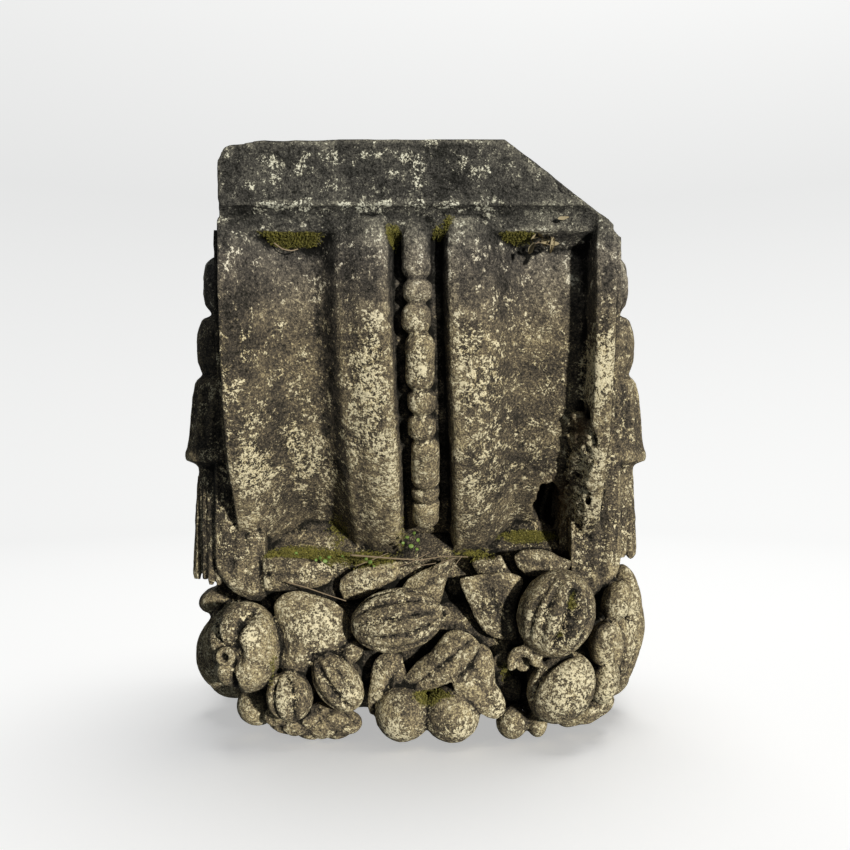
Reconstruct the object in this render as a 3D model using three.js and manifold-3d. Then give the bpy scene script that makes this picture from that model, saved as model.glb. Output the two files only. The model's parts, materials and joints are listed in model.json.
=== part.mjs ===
// A carved stone balcony bracket: a moulded bed slab over a fluted, beaded scroll front,
// side faces with hanging tassels, and a garland of fruit and leaves round the foot.
// Millimetres, +Z up, front towards -Y. The origin is on the wall face, on the centre line.
import * as THREE from "three";
import { mergeVertices } from "three/addons/utils/BufferGeometryUtils.js";
import Module from "manifold-3d";

const wasm = await Module();
wasm.setup();

// Bed slab
const TOP_Z = 310;
const SLAB_WIDTH = 397;
const SLAB_THICKNESS = 66;
const SLAB_PROUD = 8;
const COVE_HEIGHT = 22;
const COVE_SETBACK = 16;
const BREAK_TOP_RUN = 112; // from the lost corner to where the break meets the top front edge
const BREAK_LOW_RUN = 27; // the same along the lower front edge
const BREAK_LENGTH = 273; // how far back the break runs along the top right edge

// Fluted scroll front, which follows a quarter ellipse and falls back towards the foot
const PROJECTION = 400; // wall face to the most forward line of the front
const BAND_WIDTH = 402;
const BAND_THICKNESS = 62;
const ARC_DEPTH = 325;
const ARC_HEIGHT = 380;
const ARC_START_Z = TOP_Z - 110;
const BAND_FOOT_Z = -120;
const RIM_WIDTH = 22;
const RIM_SLOPE = { left: 26, right: 6 }; // width of the slope from the channel up to each rim, the left one worn round
const GROOVE_WIDTH = 54;
const GROOVE_DEPTH = 25;
const ROLL_WIDTH = 66;
const CHANNEL_DEPTH = 38;
const BEAD_LINE_DRIFT = 11; // the bead line wanders to the right on its way down
const BAND_STATIONS = 9;

// Bead-and-reel string in the middle groove
const BEAD_RADIUS = 14;
const LONG_BEAD = 60;
const ROUND_BEAD = 26;
const BEAD_GAP = 4;
const BEAD_START_Z = TOP_Z - SLAB_THICKNESS - COVE_HEIGHT * 0.4; // the string of beads starts under the cove
const BEAD_ORDER = ["long", "round", "round", "long", "round", "round", "long", "round", "long"];

// Body behind the band
const BODY_WIDTH = 422;
const BODY_TOP_Z = TOP_Z - SLAB_THICKNESS - COVE_HEIGHT + 6;
const BODY_SETBACK = 34; // thickness of the rim before the body steps out
const BODY_BEHIND_FOOT = 40; // the body's front below the band, behind the foot's front
const BASE_Z = -298;
const PANEL_DEPTH = 9;
const PANEL_BORDER = 26;

// Foot block that carries the garland
const FOOT_WIDTH = 366;
const FOOT_PROUD = 20; // how far the foot stands out from the end of the band
const FOOT_BEVEL = 16;
const LEDGE_DROP = 8; // how far the ledge lies below the end of the band
const LEDGE_FALL = 22; // how far it falls on its way out
const FOOT_CORNER = 86;

// Reeded tongues beside the foot of the band
const TONGUE_INNER_X = BAND_WIDTH / 2 - 29;
const TONGUE_OUTER_X = BODY_WIDTH / 2 + 20;
const TONGUE_TOP_Z = BAND_FOOT_Z + 108;
const TONGUE_FOOT_Z = BAND_FOOT_Z - 54;
const TONGUE_SETBACK = 121;
const TONGUE_THICKNESS = 56;
const REED_COUNT = 4;
const REED_DEPTH = 4;

// Tassel on each side face, turned about an axis that lies near the face
const TASSEL_Y = -PROJECTION * 0.55;
const TASSEL_PROUD = { left: 1, right: -5 };
const TASSEL_TOP_Z = TOP_Z - 84;
const TASSEL_LENGTH = { left: 382, right: 356 }; // the right one has lost the end of its fringe
const TASSEL_PROFILE = [
  // radius, drop below the tassel's top
  [16, 0],
  [36, 7],
  [41, 30],
  [37, 60],
  [30, 69],
  [43, 78],
  [48, 106],
  [47, 130],
  [41, 142],
  [50, 150],
  [54, 178],
  [57, 216],
  [60, 230],
  [60, 242],
  [47, 246],
  [46, 262],
  [43, 266],
  [46, 316],
  [49, 346],
];

const FACET_TOLERANCE = 1.9; // slivers smaller than this are merged after the joins
const SLIVER_VOLUME = 100;
const HALF = 0.5;
const sideSigns = { left: -1, right: 1 };

// A closed geometry as a solid, and back
function solidOf(geometry) {
  const bare = geometry.clone();
  bare.deleteAttribute("normal");
  bare.deleteAttribute("uv");
  const merged = mergeVertices(bare, 1e-3);
  return new wasm.Manifold(
    new wasm.Mesh({
      numProp: 3,
      vertProperties: new Float32Array(merged.attributes.position.array),
      triVerts: new Uint32Array(merged.index.array),
    }),
  );
}

function geometryOf(solid) {
  const mesh = solid.getMesh();
  const places = new Float32Array(mesh.numVert * 3);
  for (let i = 0; i < mesh.numVert; i++) {
    places.set(mesh.vertProperties.subarray(i * mesh.numProp, i * mesh.numProp + 3), i * 3);
  }
  const geometry = new THREE.BufferGeometry();
  geometry.setAttribute("position", new THREE.BufferAttribute(places, 3));
  geometry.setIndex(new THREE.BufferAttribute(new Uint32Array(mesh.triVerts), 1));
  geometry.computeVertexNormals();
  return geometry;
}

function join(solids) {
  return solids.reduce((whole, next) => whole.add(next));
}

// A closed loft: rings of the same number of points, joined ring to ring, with flat ends
function loft(rings) {
  const count = rings[0].length;
  const places = rings.flat().flatMap((p) => [p.x, p.y, p.z]);
  const index = [];
  for (let r = 0; r + 1 < rings.length; r++) {
    for (let i = 0; i < count; i++) {
      const a = r * count + i;
      const b = r * count + ((i + 1) % count);
      index.push(a, b, b + count, a, b + count, a + count);
    }
  }
  const flat = rings[0].map((p) => new THREE.Vector2(p.u, p.v));
  const ringTurn = Math.sign(THREE.ShapeUtils.area(flat));
  const last = (rings.length - 1) * count;
  for (const [a, b, c] of THREE.ShapeUtils.triangulateShape(flat, [])) {
    const capTurn = Math.sign(THREE.ShapeUtils.area([flat[a], flat[b], flat[c]]));
    const [second, third] = capTurn === ringTurn ? [b, c] : [c, b];
    index.push(a, third, second);
    index.push(last + a, last + second, last + third);
  }
  const geometry = new THREE.BufferGeometry();
  geometry.setAttribute("position", new THREE.Float32BufferAttribute(places, 3));
  geometry.setIndex(index);
  const solid = solidOf(geometry);
  if (solid.volume() > 0) return solid;
  geometry.setIndex(index.reverse());
  return solidOf(geometry);
}

// A side profile of [y, z] points, extruded across the bracket
function acrossX(profile, width) {
  const shape = new THREE.Shape(profile.map(([y, z]) => new THREE.Vector2(y, z)));
  const geometry = new THREE.ExtrudeGeometry(shape, { depth: width, bevelEnabled: false });
  geometry.translate(0, 0, -width * HALF);
  geometry.applyMatrix4(
    new THREE.Matrix4().makeBasis(
      new THREE.Vector3(0, 1, 0),
      new THREE.Vector3(0, 0, 1),
      new THREE.Vector3(1, 0, 0),
    ),
  );
  return solidOf(geometry);
}

// A front profile of [x, z] points, extruded from one depth to another
function alongY(profile, yFront, yBack) {
  const shape = new THREE.Shape(profile.map(([x, z]) => new THREE.Vector2(x, -z)));
  const geometry = new THREE.ExtrudeGeometry(shape, { depth: yBack - yFront, bevelEnabled: false });
  geometry.rotateX(-Math.PI * HALF);
  geometry.translate(0, yFront, 0);
  return solidOf(geometry);
}

// The scroll front's line: the place and the inward direction at an angle along the ellipse
const ARC_END = Math.asin((ARC_START_Z - BAND_FOOT_Z) / ARC_HEIGHT);

function arcPoint(angle) {
  const inY = ARC_HEIGHT * Math.cos(angle);
  const inZ = ARC_DEPTH * Math.sin(angle);
  const length = Math.hypot(inY, inZ);
  return {
    y: -PROJECTION + ARC_DEPTH * (1 - Math.cos(angle)),
    z: ARC_START_Z - ARC_HEIGHT * Math.sin(angle),
    inY: inY / length,
    inZ: inZ / length,
  };
}

// the foot's front, which leads out from the end of the band
const FRONT_Y = arcPoint(ARC_END).y - FOOT_PROUD;

function bandStations(topZ, count) {
  const straight = { y: -PROJECTION, z: topZ, inY: 1, inZ: 0 };
  const stations = [straight];
  for (let i = 0; i <= count; i++) stations.push(arcPoint((ARC_END * i) / count));
  return stations;
}

// How far the middle of the band has wandered to the right at a height
function drift(z) {
  const share = (ARC_START_Z - z) / (ARC_START_Z - BAND_FOOT_Z);
  return BEAD_LINE_DRIFT * THREE.MathUtils.smoothstep(share, 0, 1);
}

// The band's section: [distance from the middle, depth below the rim]
function halfSection(rimSlope) {
  const grooveEdge = GROOVE_WIDTH * HALF;
  const rollEnd = grooveEdge + ROLL_WIDTH;
  const rimInner = BAND_WIDTH * HALF - RIM_WIDTH;
  const channel = rimInner - rollEnd;
  return [
    [grooveEdge, GROOVE_DEPTH],
    [grooveEdge + 1.5, 8],
    [grooveEdge + 0.12 * ROLL_WIDTH, 1.5],
    [grooveEdge + 0.3 * ROLL_WIDTH, 0],
    [grooveEdge + 0.58 * ROLL_WIDTH, 0.13 * CHANNEL_DEPTH],
    [grooveEdge + 0.82 * ROLL_WIDTH, 0.45 * CHANNEL_DEPTH],
    [rollEnd, 0.86 * CHANNEL_DEPTH],
    [rollEnd + 0.15 * channel, CHANNEL_DEPTH],
    [rimInner - rimSlope, 0.98 * CHANNEL_DEPTH],
    [rimInner - 0.4 * rimSlope, 0.7 * CHANNEL_DEPTH],
    [rimInner + 2.5, 1.5],
    [rimInner + 5, 0],
    [BAND_WIDTH * HALF - 1.5, 0],
    [BAND_WIDTH * HALF, 2.5],
  ];
}

function bandSection() {
  const right = halfSection(RIM_SLOPE.right);
  const left = halfSection(RIM_SLOPE.left).map(([u, d]) => [-u, d]).reverse();
  const edge = BAND_WIDTH * HALF;
  return [...left, ...right, [edge, BAND_THICKNESS], [-edge, BAND_THICKNESS]];
}

function scrollBand() {
  const section = bandSection();
  const rings = bandStations(TOP_Z - SLAB_THICKNESS - COVE_HEIGHT * HALF, BAND_STATIONS).map((at) =>
    section.map(([u, d]) => {
      // the rims stay put while the middle drifts
      const share = Math.abs(u) / (BAND_WIDTH * HALF);
      return {
        u,
        v: -d,
        x: u + drift(at.z) * (1 - share * share),
        y: at.y + at.inY * d,
        z: at.z + at.inZ * d,
      };
    }),
  );
  return loft(rings);
}

function beads() {
  // walk down the line in small steps and keep its length
  const walk = [{ s: 0, ...bandStations(BEAD_START_Z, 1)[0] }];
  for (const at of bandStations(BEAD_START_Z, 160).slice(1)) {
    const before = walk[walk.length - 1];
    walk.push({ ...at, s: before.s + Math.hypot(at.y - before.y, at.z - before.z) });
  }
  const place = (s) => walk.find((at) => at.s >= s) ?? walk[walk.length - 1];
  const made = [];
  let s = 0;
  for (const kind of BEAD_ORDER) {
    const length = kind === "long" ? LONG_BEAD : ROUND_BEAD;
    const at = place(s + length * HALF);
    made.push(bead(length, at));
    s += length + BEAD_GAP;
  }
  return join(made);
}

// A bead turned about the line that it hangs on, with rounded ends
function bead(length, at) {
  const end = Math.min(BEAD_RADIUS, length * HALF);
  const reach = length * HALF;
  const profile = [
    [0, -reach],
    [BEAD_RADIUS * 0.62, -reach],
    [BEAD_RADIUS, -reach + end * 0.6],
    [BEAD_RADIUS, reach - end * 0.6],
    [BEAD_RADIUS * 0.62, reach],
    [0, reach],
  ].map(([r, z]) => new THREE.Vector2(r, z));
  const geometry = new THREE.LatheGeometry(profile, 7);
  geometry.rotateX(Math.PI * HALF + Math.atan2(at.inZ, at.inY));
  const depth = BEAD_RADIUS + 1;
  geometry.translate(drift(at.z), at.y + at.inY * depth, at.z + at.inZ * depth);
  const solid = solidOf(geometry);
  // a bar under the beads joins the string to the groove
  const bar = new THREE.BoxGeometry(BEAD_RADIUS, GROOVE_DEPTH, length + BEAD_GAP + 2);
  bar.rotateX(Math.atan2(at.inZ, at.inY));
  const under = depth + GROOVE_DEPTH * HALF;
  bar.translate(drift(at.z), at.y + at.inY * under, at.z + at.inZ * under);
  return solid.add(solidOf(bar));
}

// The bed slab with its cove, and the corner that has broken away
function bedSlab() {
  const front = -PROJECTION - SLAB_PROUD;
  const bottom = TOP_Z - SLAB_THICKNESS;
  const profile = [
    [front, TOP_Z],
    [0, TOP_Z],
    [0, bottom - COVE_HEIGHT],
    [front + COVE_SETBACK, bottom - COVE_HEIGHT],
    [front + COVE_SETBACK * 0.8, bottom - COVE_HEIGHT * 0.5],
    [front + COVE_SETBACK * 0.4, bottom - COVE_HEIGHT * 0.2],
    [front, bottom],
  ];
  const slab = acrossX(profile.reverse(), SLAB_WIDTH);
  return slab.subtract(brokenCorner(front, bottom));
}

function brokenCorner(front, bottom) {
  const start = new THREE.Vector3(SLAB_WIDTH * HALF - BREAK_TOP_RUN, front, TOP_Z);
  const end = new THREE.Vector3(SLAB_WIDTH * HALF - BREAK_LOW_RUN, front, bottom);
  const back = new THREE.Vector3(SLAB_WIDTH * HALF, front + BREAK_LENGTH, TOP_Z);
  const across = end.clone().sub(start).normalize();
  const out = across.clone().cross(back.clone().sub(start)).normalize();
  const along = out.clone().cross(across);
  const size = 2 * BREAK_LENGTH;
  const box = new THREE.BoxGeometry(2 * size, 2 * size, size);
  box.translate(0, 0, size * HALF);
  box.applyMatrix4(new THREE.Matrix4().makeBasis(across, along, out).setPosition(start));
  return solidOf(box);
}

// The body's side profile, which follows the band and then drops to the base
function bodyProfile(inset) {
  const front = [];
  for (const at of bandStations(BODY_TOP_Z, 7)) {
    const d = BODY_SETBACK + inset;
    front.push([at.y + at.inY * d, at.z + at.inZ * d - (front.length ? 0 : inset)]);
  }
  const footY = FRONT_Y + BODY_BEHIND_FOOT + inset;
  const keep = front.filter(([y]) => y < footY - 1);
  return [
    ...keep,
    [footY, BAND_FOOT_Z + BODY_SETBACK],
    [footY, BASE_Z + inset],
    [-inset, BASE_Z + inset],
    [-inset, BODY_TOP_Z - inset],
  ];
}

function body() {
  const whole = acrossX(bodyProfile(0), BODY_WIDTH);
  const panel = acrossX(bodyProfile(PANEL_BORDER), PANEL_DEPTH * 2);
  const sunk = Object.values(sideSigns).map((sign) => panel.translate([sign * BODY_WIDTH * HALF, 0, 0]));
  return whole.subtract(join(sunk));
}

// The foot block: a sloping ledge under the band, rounded lower corners in front view
function foot() {
  const front = FRONT_Y;
  const end = arcPoint(ARC_END);
  const inner = { y: end.y + end.inY * BAND_THICKNESS, z: end.z + end.inZ * BAND_THICKNESS - LEDGE_DROP };
  const back = inner.y + LEDGE_DROP;
  const profile = [
    [inner.y, inner.z],
    [end.y, end.z - LEDGE_DROP * HALF],
    [front, end.z - LEDGE_FALL],
    [front, BASE_Z + FOOT_BEVEL],
    [front + FOOT_BEVEL, BASE_Z],
    [back, BASE_Z],
    [back, inner.z],
  ];
  const block = acrossX(profile, FOOT_WIDTH);
  const half = FOOT_WIDTH * HALF;
  const outline = [
    [-half, BAND_FOOT_Z + BAND_THICKNESS],
    [-half, BASE_Z + FOOT_CORNER],
  ];
  const steps = 4;
  for (const sign of [-1, 1]) {
    for (let i = 1; i < steps; i++) {
      const turn = (Math.PI * HALF * (sign < 0 ? i : steps - i)) / steps;
      outline.push([
        sign * (half - FOOT_CORNER * (1 - Math.cos(turn))),
        BASE_Z + FOOT_CORNER * (1 - Math.sin(turn)),
      ]);
    }
  }
  outline.push([half, BASE_Z + FOOT_CORNER], [half, BAND_FOOT_Z + BAND_THICKNESS]);
  return block.intersect(alongY(outline, front - 1, back + 1));
}

// A reeded tongue beside the band's foot, with a round lower end
function tongue(sign) {
  const width = TONGUE_OUTER_X - TONGUE_INNER_X;
  const end = width * 0.9;
  const outline = [[TONGUE_INNER_X, TONGUE_TOP_Z]];
  const steps = 6;
  for (let i = 0; i <= steps; i++) {
    const turn = (Math.PI * i) / (2 * steps);
    outline.push([
      TONGUE_INNER_X + width * Math.sin(turn),
      TONGUE_FOOT_Z + end * (1 - Math.cos(turn)),
    ]);
  }
  outline.push([TONGUE_OUTER_X, TONGUE_TOP_Z]);
  const front = -PROJECTION + TONGUE_SETBACK;
  const plate = alongY(
    outline.map(([x, z]) => [sign * x, z]),
    front,
    front + TONGUE_THICKNESS,
  );
  const pitch = width / REED_COUNT;
  const cuts = [];
  for (let i = 1; i < REED_COUNT; i++) {
    const cut = new THREE.CylinderGeometry(REED_DEPTH, REED_DEPTH, TONGUE_TOP_Z - TONGUE_FOOT_Z - end * HALF, 4);
    cut.rotateX(Math.PI * HALF);
    cut.translate(sign * (TONGUE_INNER_X + i * pitch), front, (TONGUE_TOP_Z + TONGUE_FOOT_Z + end * HALF) * HALF + 1);
    cuts.push(solidOf(cut));
  }
  return plate.subtract(join(cuts));
}

// A tassel on a side face: cord boss, ball, bell, rim and fringe
function tassel(side) {
  const length = TASSEL_LENGTH[side];
  const rings = [...TASSEL_PROFILE, [48, length - 4], [42, length]];
  const points = rings.map(([r, drop]) => new THREE.Vector2(r, TASSEL_TOP_Z - drop));
  const [top, bottom] = [TASSEL_TOP_Z, TASSEL_TOP_Z - length];
  const profile = [new THREE.Vector2(0, bottom), ...points.reverse(), new THREE.Vector2(0, top)];
  const geometry = new THREE.LatheGeometry(profile, 10);
  geometry.rotateX(Math.PI * HALF);
  geometry.translate(sideSigns[side] * (BODY_WIDTH * HALF + TASSEL_PROUD[side]), TASSEL_Y, 0);
  return solidOf(geometry);
}

// Fruit and leaves. Each is made about the origin with its length along Z, then spun about its
// own axis, nodded towards the front, leaned to the right and turned to face a side.
function placed(geometry, item) {
  const degrees = THREE.MathUtils.degToRad;
  const turn = new THREE.Matrix4().makeRotationZ(degrees(item.face ?? 0));
  turn.multiply(new THREE.Matrix4().makeRotationY(degrees(item.lean ?? 0)));
  turn.multiply(new THREE.Matrix4().makeRotationX(degrees(item.nod ?? 0)));
  turn.multiply(new THREE.Matrix4().makeRotationZ(degrees(item.spin ?? 0)));
  geometry.applyMatrix4(turn.setPosition(...item.at));
  return solidOf(geometry);
}

// How far a fruit's skin stands at an angle round its axis and a share from its base to its tip
const SKINS = {
  plain: () => 1,
  peach: (angle) => 1 - 0.16 * Math.exp(-((wrapped(angle) / 0.3) ** 2)),
  lobed: (angle, t) => 1 - 0.22 * Math.abs(Math.cos(angle * 2.5)) ** 6 * THREE.MathUtils.smoothstep(t, 0.4, 0.9),
  ribbed: (angle) => 1 + 0.035 * Math.cos(angle * 7),
  almond: (angle, t) => (1 - 0.2 * Math.exp(-((wrapped(angle) / 0.25) ** 2))) * (1 - 0.25 * t * t),
  scaled: (angle, t) => 1 + 0.06 * Math.cos(angle * 4 + t * 20),
  split: (angle) => 1 - 0.14 * Math.exp(-((wrapped(angle) / 0.35) ** 2)),
};

// An angle measured from the front of the fruit, from minus pi to pi
function wrapped(angle) {
  const turn = angle + Math.PI * HALF;
  return turn - 2 * Math.PI * Math.round(turn / (2 * Math.PI));
}

function fruit(item) {
  const [around, along] = item.detail ?? [10, 7];
  const geometry = new THREE.SphereGeometry(1, around, along);
  geometry.rotateX(Math.PI * HALF);
  const place = geometry.attributes.position;
  const skin = SKINS[item.skin ?? "plain"];
  const [across, deep, long] = item.radii.map((radius) => radius * grow);
  for (let i = 0; i < place.count; i++) {
    const [x, y, z] = [place.getX(i), place.getY(i), place.getZ(i)];
    const r = Math.hypot(x, y) < 1e-4 ? 1 : skin(Math.atan2(y, x), (z + 1) * HALF);
    const bend = (item.bend ?? 0) * z * z;
    place.setXYZ(i, x * across * r + bend, y * deep * r, z * long);
  }
  return placed(geometry, item);
}

// A leaf seen from the front, cut from its outline, domed, and tapering back into the bed
function frontLeaf({ proud, outline: carved, dome = 10, slope = [0, 0] }) {
  const outline = carved.map(([x, z]) => [bedX(x), bedZ(z)]);
  const [y, back] = [out(proud), out(-25)];
  const middle = outline.reduce(([a, b], [x, z]) => [a + x / outline.length, b + z / outline.length], [0, 0]);
  const ring = (scale, depth, tilt) =>
    outline.map(([x, z]) => {
      const [dx, dz] = [(x - middle[0]) * scale, (z - middle[1]) * scale];
      const lean = tilt * (slope[0] * dx + slope[1] * dz);
      return { u: x, v: z, x: middle[0] + dx, y: depth + lean, z: middle[1] + dz };
    });
  return loft([ring(0.6, back, 0), ring(1, y, 1), ring(0.55, y - dome, 1)]);
}

// A leaf: a domed plate with a pointed tip at +Z
function leaf(item) {
  const [cols, rows] = [2, 4];
  const geometry = new THREE.BoxGeometry(1, 1, 1, cols, 1, rows);
  const place = geometry.attributes.position;
  const { dome = 8, curl = 6, tip = 0.3 } = item;
  const [width, length, thick] = [item.width, item.length, item.thick ?? 13].map((size) => size * grow);
  for (let i = 0; i < place.count; i++) {
    const across = place.getX(i) * 2;
    const t = place.getZ(i) + HALF;
    const outline = Math.max(tip * 0.6, Math.sin(Math.PI * (0.16 + 0.84 * t ** 0.9))) ** 0.6;
    const wide = t > 0.99 ? tip * 0.6 : outline;
    const bow = dome * (1 - across * across) * wide - curl * (2 * t - 1) ** 2;
    place.setXYZ(i, across * width * HALF * wide, place.getY(i) * thick - bow, (t - HALF) * length);
  }
  return placed(geometry, item);
}

// The rounded mass that the garland is cut from, which runs round the foot from wall to wall
const BED_HALF_WIDTH = BODY_WIDTH / 2 + 33;
const BED_REACH = PROJECTION - 110;
const BED_HALF_HEIGHT = 80;
const BED_Z = BASE_Z + BED_HALF_HEIGHT;
const BED_PLAN_POWER = 4.5;
const BED_SIDE_POWER = 3;

function garlandBed() {
  const geometry = new THREE.SphereGeometry(1, 24, 6);
  geometry.rotateX(Math.PI * HALF);
  const place = geometry.attributes.position;
  const bulge = (value, power) => Math.sign(value) * Math.abs(value) ** (2 / power);
  for (let i = 0; i < place.count; i++) {
    const z = THREE.MathUtils.clamp(place.getZ(i), -1, 1);
    const flat = Math.sqrt(1 - z * z);
    const angle = Math.atan2(place.getY(i), place.getX(i));
    const spread = bulge(flat, BED_SIDE_POWER);
    place.setXYZ(
      i,
      BED_HALF_WIDTH * bulge(Math.cos(angle), BED_PLAN_POWER) * spread,
      BED_REACH * bulge(Math.sin(angle), BED_PLAN_POWER) * spread,
      BED_Z + BED_HALF_HEIGHT * bulge(z, BED_SIDE_POWER),
    );
  }
  return solidOf(geometry);
}

// The garland is carved at the size of a bed 488 wide and 160 high with its middle at -218, and
// follows the bed when that changes. Its depths are counted outwards from the foot's front.
const CARVED = { halfWidth: 244, halfHeight: 80, z: -218, depth: 270 };
const grow = BED_HALF_HEIGHT / CARVED.halfHeight;
const out = (distance) => FRONT_Y - distance * grow;
const bedX = (x) => (x * BED_HALF_WIDTH) / CARVED.halfWidth;
const bedY = (deep) => FRONT_Y + (deep * -FRONT_Y) / CARVED.depth;
const bedZ = (z) => BED_Z + ((z - CARVED.z) * BED_HALF_HEIGHT) / CARVED.halfHeight;

// Leaves on the front: the outline in front view as [x, z], how proud its edge is, and its dome
const FRONT_LEAVES = {
  ledgeLeaf: {
    proud: 12,
    outline: [
      [-174, -122], [-154, -120], [-130, -123], [-108, -126], [-92, -137], [-97, -150],
      [-112, -156], [-134, -158], [-156, -160], [-172, -161],
    ],
  },
  tuckedLeaf: {
    proud: 15,
    outline: [
      [-87, -145], [-73, -136], [-52, -130], [-22, -125], [-18, -136], [-24, -147],
      [-38, -154], [-53, -164], [-71, -170], [-82, -171], [-88, -158],
    ],
  },
  middleLeaf: {
    proud: 15,
    outline: [
      [-21, -159], [-11, -145], [5, -136], [25, -127], [39, -120], [40, -131],
      [33, -145], [28, -160], [25, -174], [9, -176], [-6, -169],
    ],
  },
  domedLeaf: {
    proud: 38,
    dome: 20,
    outline: [
      [-158, -168], [-147, -157], [-131, -154], [-109, -160], [-91, -166], [-79, -176],
      [-71, -191], [-72, -208], [-82, -222], [-96, -230], [-110, -234], [-120, -246],
      [-131, -252], [-145, -248], [-153, -233], [-149, -215], [-151, -196], [-157, -181],
    ],
  },
  lowerLeaf: {
    proud: 34,
    outline: [
      [-50, -234], [-39, -223], [-17, -224], [-15, -239], [-6, -252], [1, -264],
      [-15, -272], [-26, -275], [-37, -284], [-48, -294], [-54, -291], [-56, -273],
      [-52, -253],
    ],
  },
  foldedLeaf: {
    proud: 46,
    slope: [-0.25, 0.1],
    dome: 12,
    outline: [
      [-17, -266], [-15, -249], [-5, -234], [11, -223], [24, -208], [31, -198],
      [42, -195], [57, -199], [69, -210], [61, -224], [49, -240], [37, -252],
      [22, -259], [3, -265],
    ],
  },
  droopingLeaf: {
    proud: 44,
    slope: [0.3, 0.1],
    dome: 12,
    outline: [
      [67, -209], [79, -216], [84, -229], [85, -255], [94, -269], [98, -280],
      [94, -292], [85, -295], [70, -288], [55, -276], [43, -266], [36, -253],
      [48, -239], [59, -224],
    ],
  },
  halfRoundLeaf: {
    proud: 32,
    dome: 8,
    outline: [
      [44, -142], [68, -138], [96, -135], [116, -140], [118, -147], [111, -162],
      [107, -175], [108, -193], [111, -210], [96, -211], [82, -208], [71, -200],
      [63, -187], [56, -171], [49, -155],
    ],
  },
  rightLeaf: {
    proud: 18,
    outline: [
      [105, -120], [115, -113], [131, -111], [147, -114], [160, -121], [173, -126],
      [169, -136], [154, -141], [136, -143], [120, -143], [110, -133],
    ],
  },
  backLeaf: {
    proud: 8,
    outline: [
      [88, -247], [99, -244], [108, -253], [116, -263], [115, -279], [111, -290],
      [101, -286], [92, -274], [87, -260],
    ],
  },
  stalkStub: {
    proud: 18,
    outline: [
      [58, -126], [69, -120], [83, -122], [93, -117], [99, -131], [106, -140],
      [89, -143], [67, -143],
    ],
  },
};

const FRONT_FRUIT = [
  { at: [-189, out(36), -217], radii: [41, 50, 38], skin: "lobed", nod: 92, face: -15, detail: [12, 6] },
  { at: [-22, out(58), -183], radii: [34, 32, 50], skin: "ribbed", lean: 80, detail: [10, 7] },
  { at: [-16, out(36), -288], radii: [31, 32, 31], nod: 12 },
  { at: [37, out(36), -289], radii: [31, 32, 31], nod: 12 },
  { at: [-85, out(46), -255], radii: [24, 24, 38], skin: "almond", lean: 143, detail: [10, 7] },
  { at: [-71, out(38), -222], radii: [11, 12, 15], lean: 40, detail: [7, 5] },
  { at: [-138, out(46), -270], radii: [25, 26, 28], skin: "almond", lean: 165, detail: [10, 7] },
  { at: [-116, out(20), -301], radii: [20, 22, 52], skin: "scaled", lean: 95, detail: [9, 8] },
  { at: [149, out(56), -176], radii: [41, 38, 48], skin: "split", lean: 22, detail: [11, 8] },
  { at: [155, out(50), -257], radii: [34, 34, 41], skin: "peach", lean: 38, spin: -35, detail: [10, 7] },
  { at: [104, out(22), -302], radii: [18, 20, 19], detail: [7, 5] },
  { at: [132, out(22), -303], radii: [12, 18, 16], detail: [7, 5] },
  { at: [206, out(22), -215], radii: [17, 20, 26], lean: 10, detail: [7, 5] },
  { at: [207, out(20), -257], radii: [17, 20, 27], lean: 15, detail: [7, 5] },
  { at: [223, out(6), -171], radii: [17, 22, 25], lean: 15, detail: [7, 5] },
  { at: [190, out(-10), -297], radii: [16, 22, 36], lean: 68, detail: [7, 5] },
  { at: [-183, out(-14), -293], radii: [24, 28, 24], detail: [7, 5] },
  { at: [-243, out(-80), -184], radii: [22, 34, 15], lean: -20, detail: [7, 5] },
  { at: [-236, out(-88), -250], radii: [30, 34, 46], detail: [7, 5] },
];

// Depth below the front, height and form of the fruit on the side faces, the same on both sides
const SIDE_FRUIT = [
  { deep: 52, proud: 0, z: -232, radii: [36, 44, 50], skin: "plain" },
  { deep: 112, proud: 16, z: -228, radii: [32, 34, 42], skin: "peach" },
  { deep: 96, proud: 12, z: -280, radii: [30, 34, 28], skin: "plain" },
  { deep: 164, proud: 20, z: -236, radii: [28, 30, 36], skin: "split" },
  { deep: 150, proud: 16, z: -284, radii: [24, 30, 22], skin: "plain" },
  { deep: 206, proud: 24, z: -250, radii: [22, 26, 30], skin: "peach" },
  { deep: 200, proud: 18, z: -288, radii: [18, 24, 16], skin: "plain" },
];
const SIDE_LEAVES = [
  { deep: 78, proud: 18, z: -190, width: 52, length: 78, lean: 30 },
  { deep: 140, proud: 26, z: -186, width: 48, length: 74, lean: -20 },
  { deep: 188, proud: 28, z: -198, width: 42, length: 66, lean: 40 },
  { deep: 232, proud: 34, z: -236, width: 36, length: 70, lean: 95 },
];

// The long curved pod on the outside of the right corner
const POD = { at: [250, out(-64), -216], radii: [19, 22, 76], bend: -12, spin: 0, lean: 4, detail: [10, 8] };
const TENDRIL = { at: [114, out(56), -226], ring: 12, tube: 7, turn: 1.35 * Math.PI };

function tendril() {
  const geometry = new THREE.TorusGeometry(TENDRIL.ring, TENDRIL.tube, 6, 10);
  geometry.rotateX(Math.PI * HALF);
  const [x, y, z] = onBed(TENDRIL).at;
  geometry.translate(x, y, z);
  const stalk = new THREE.CylinderGeometry(TENDRIL.tube, TENDRIL.tube * 1.6, 50, 6);
  stalk.translate(x, y + 24, z - TENDRIL.ring);
  return solidOf(geometry).add(solidOf(stalk));
}

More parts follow.
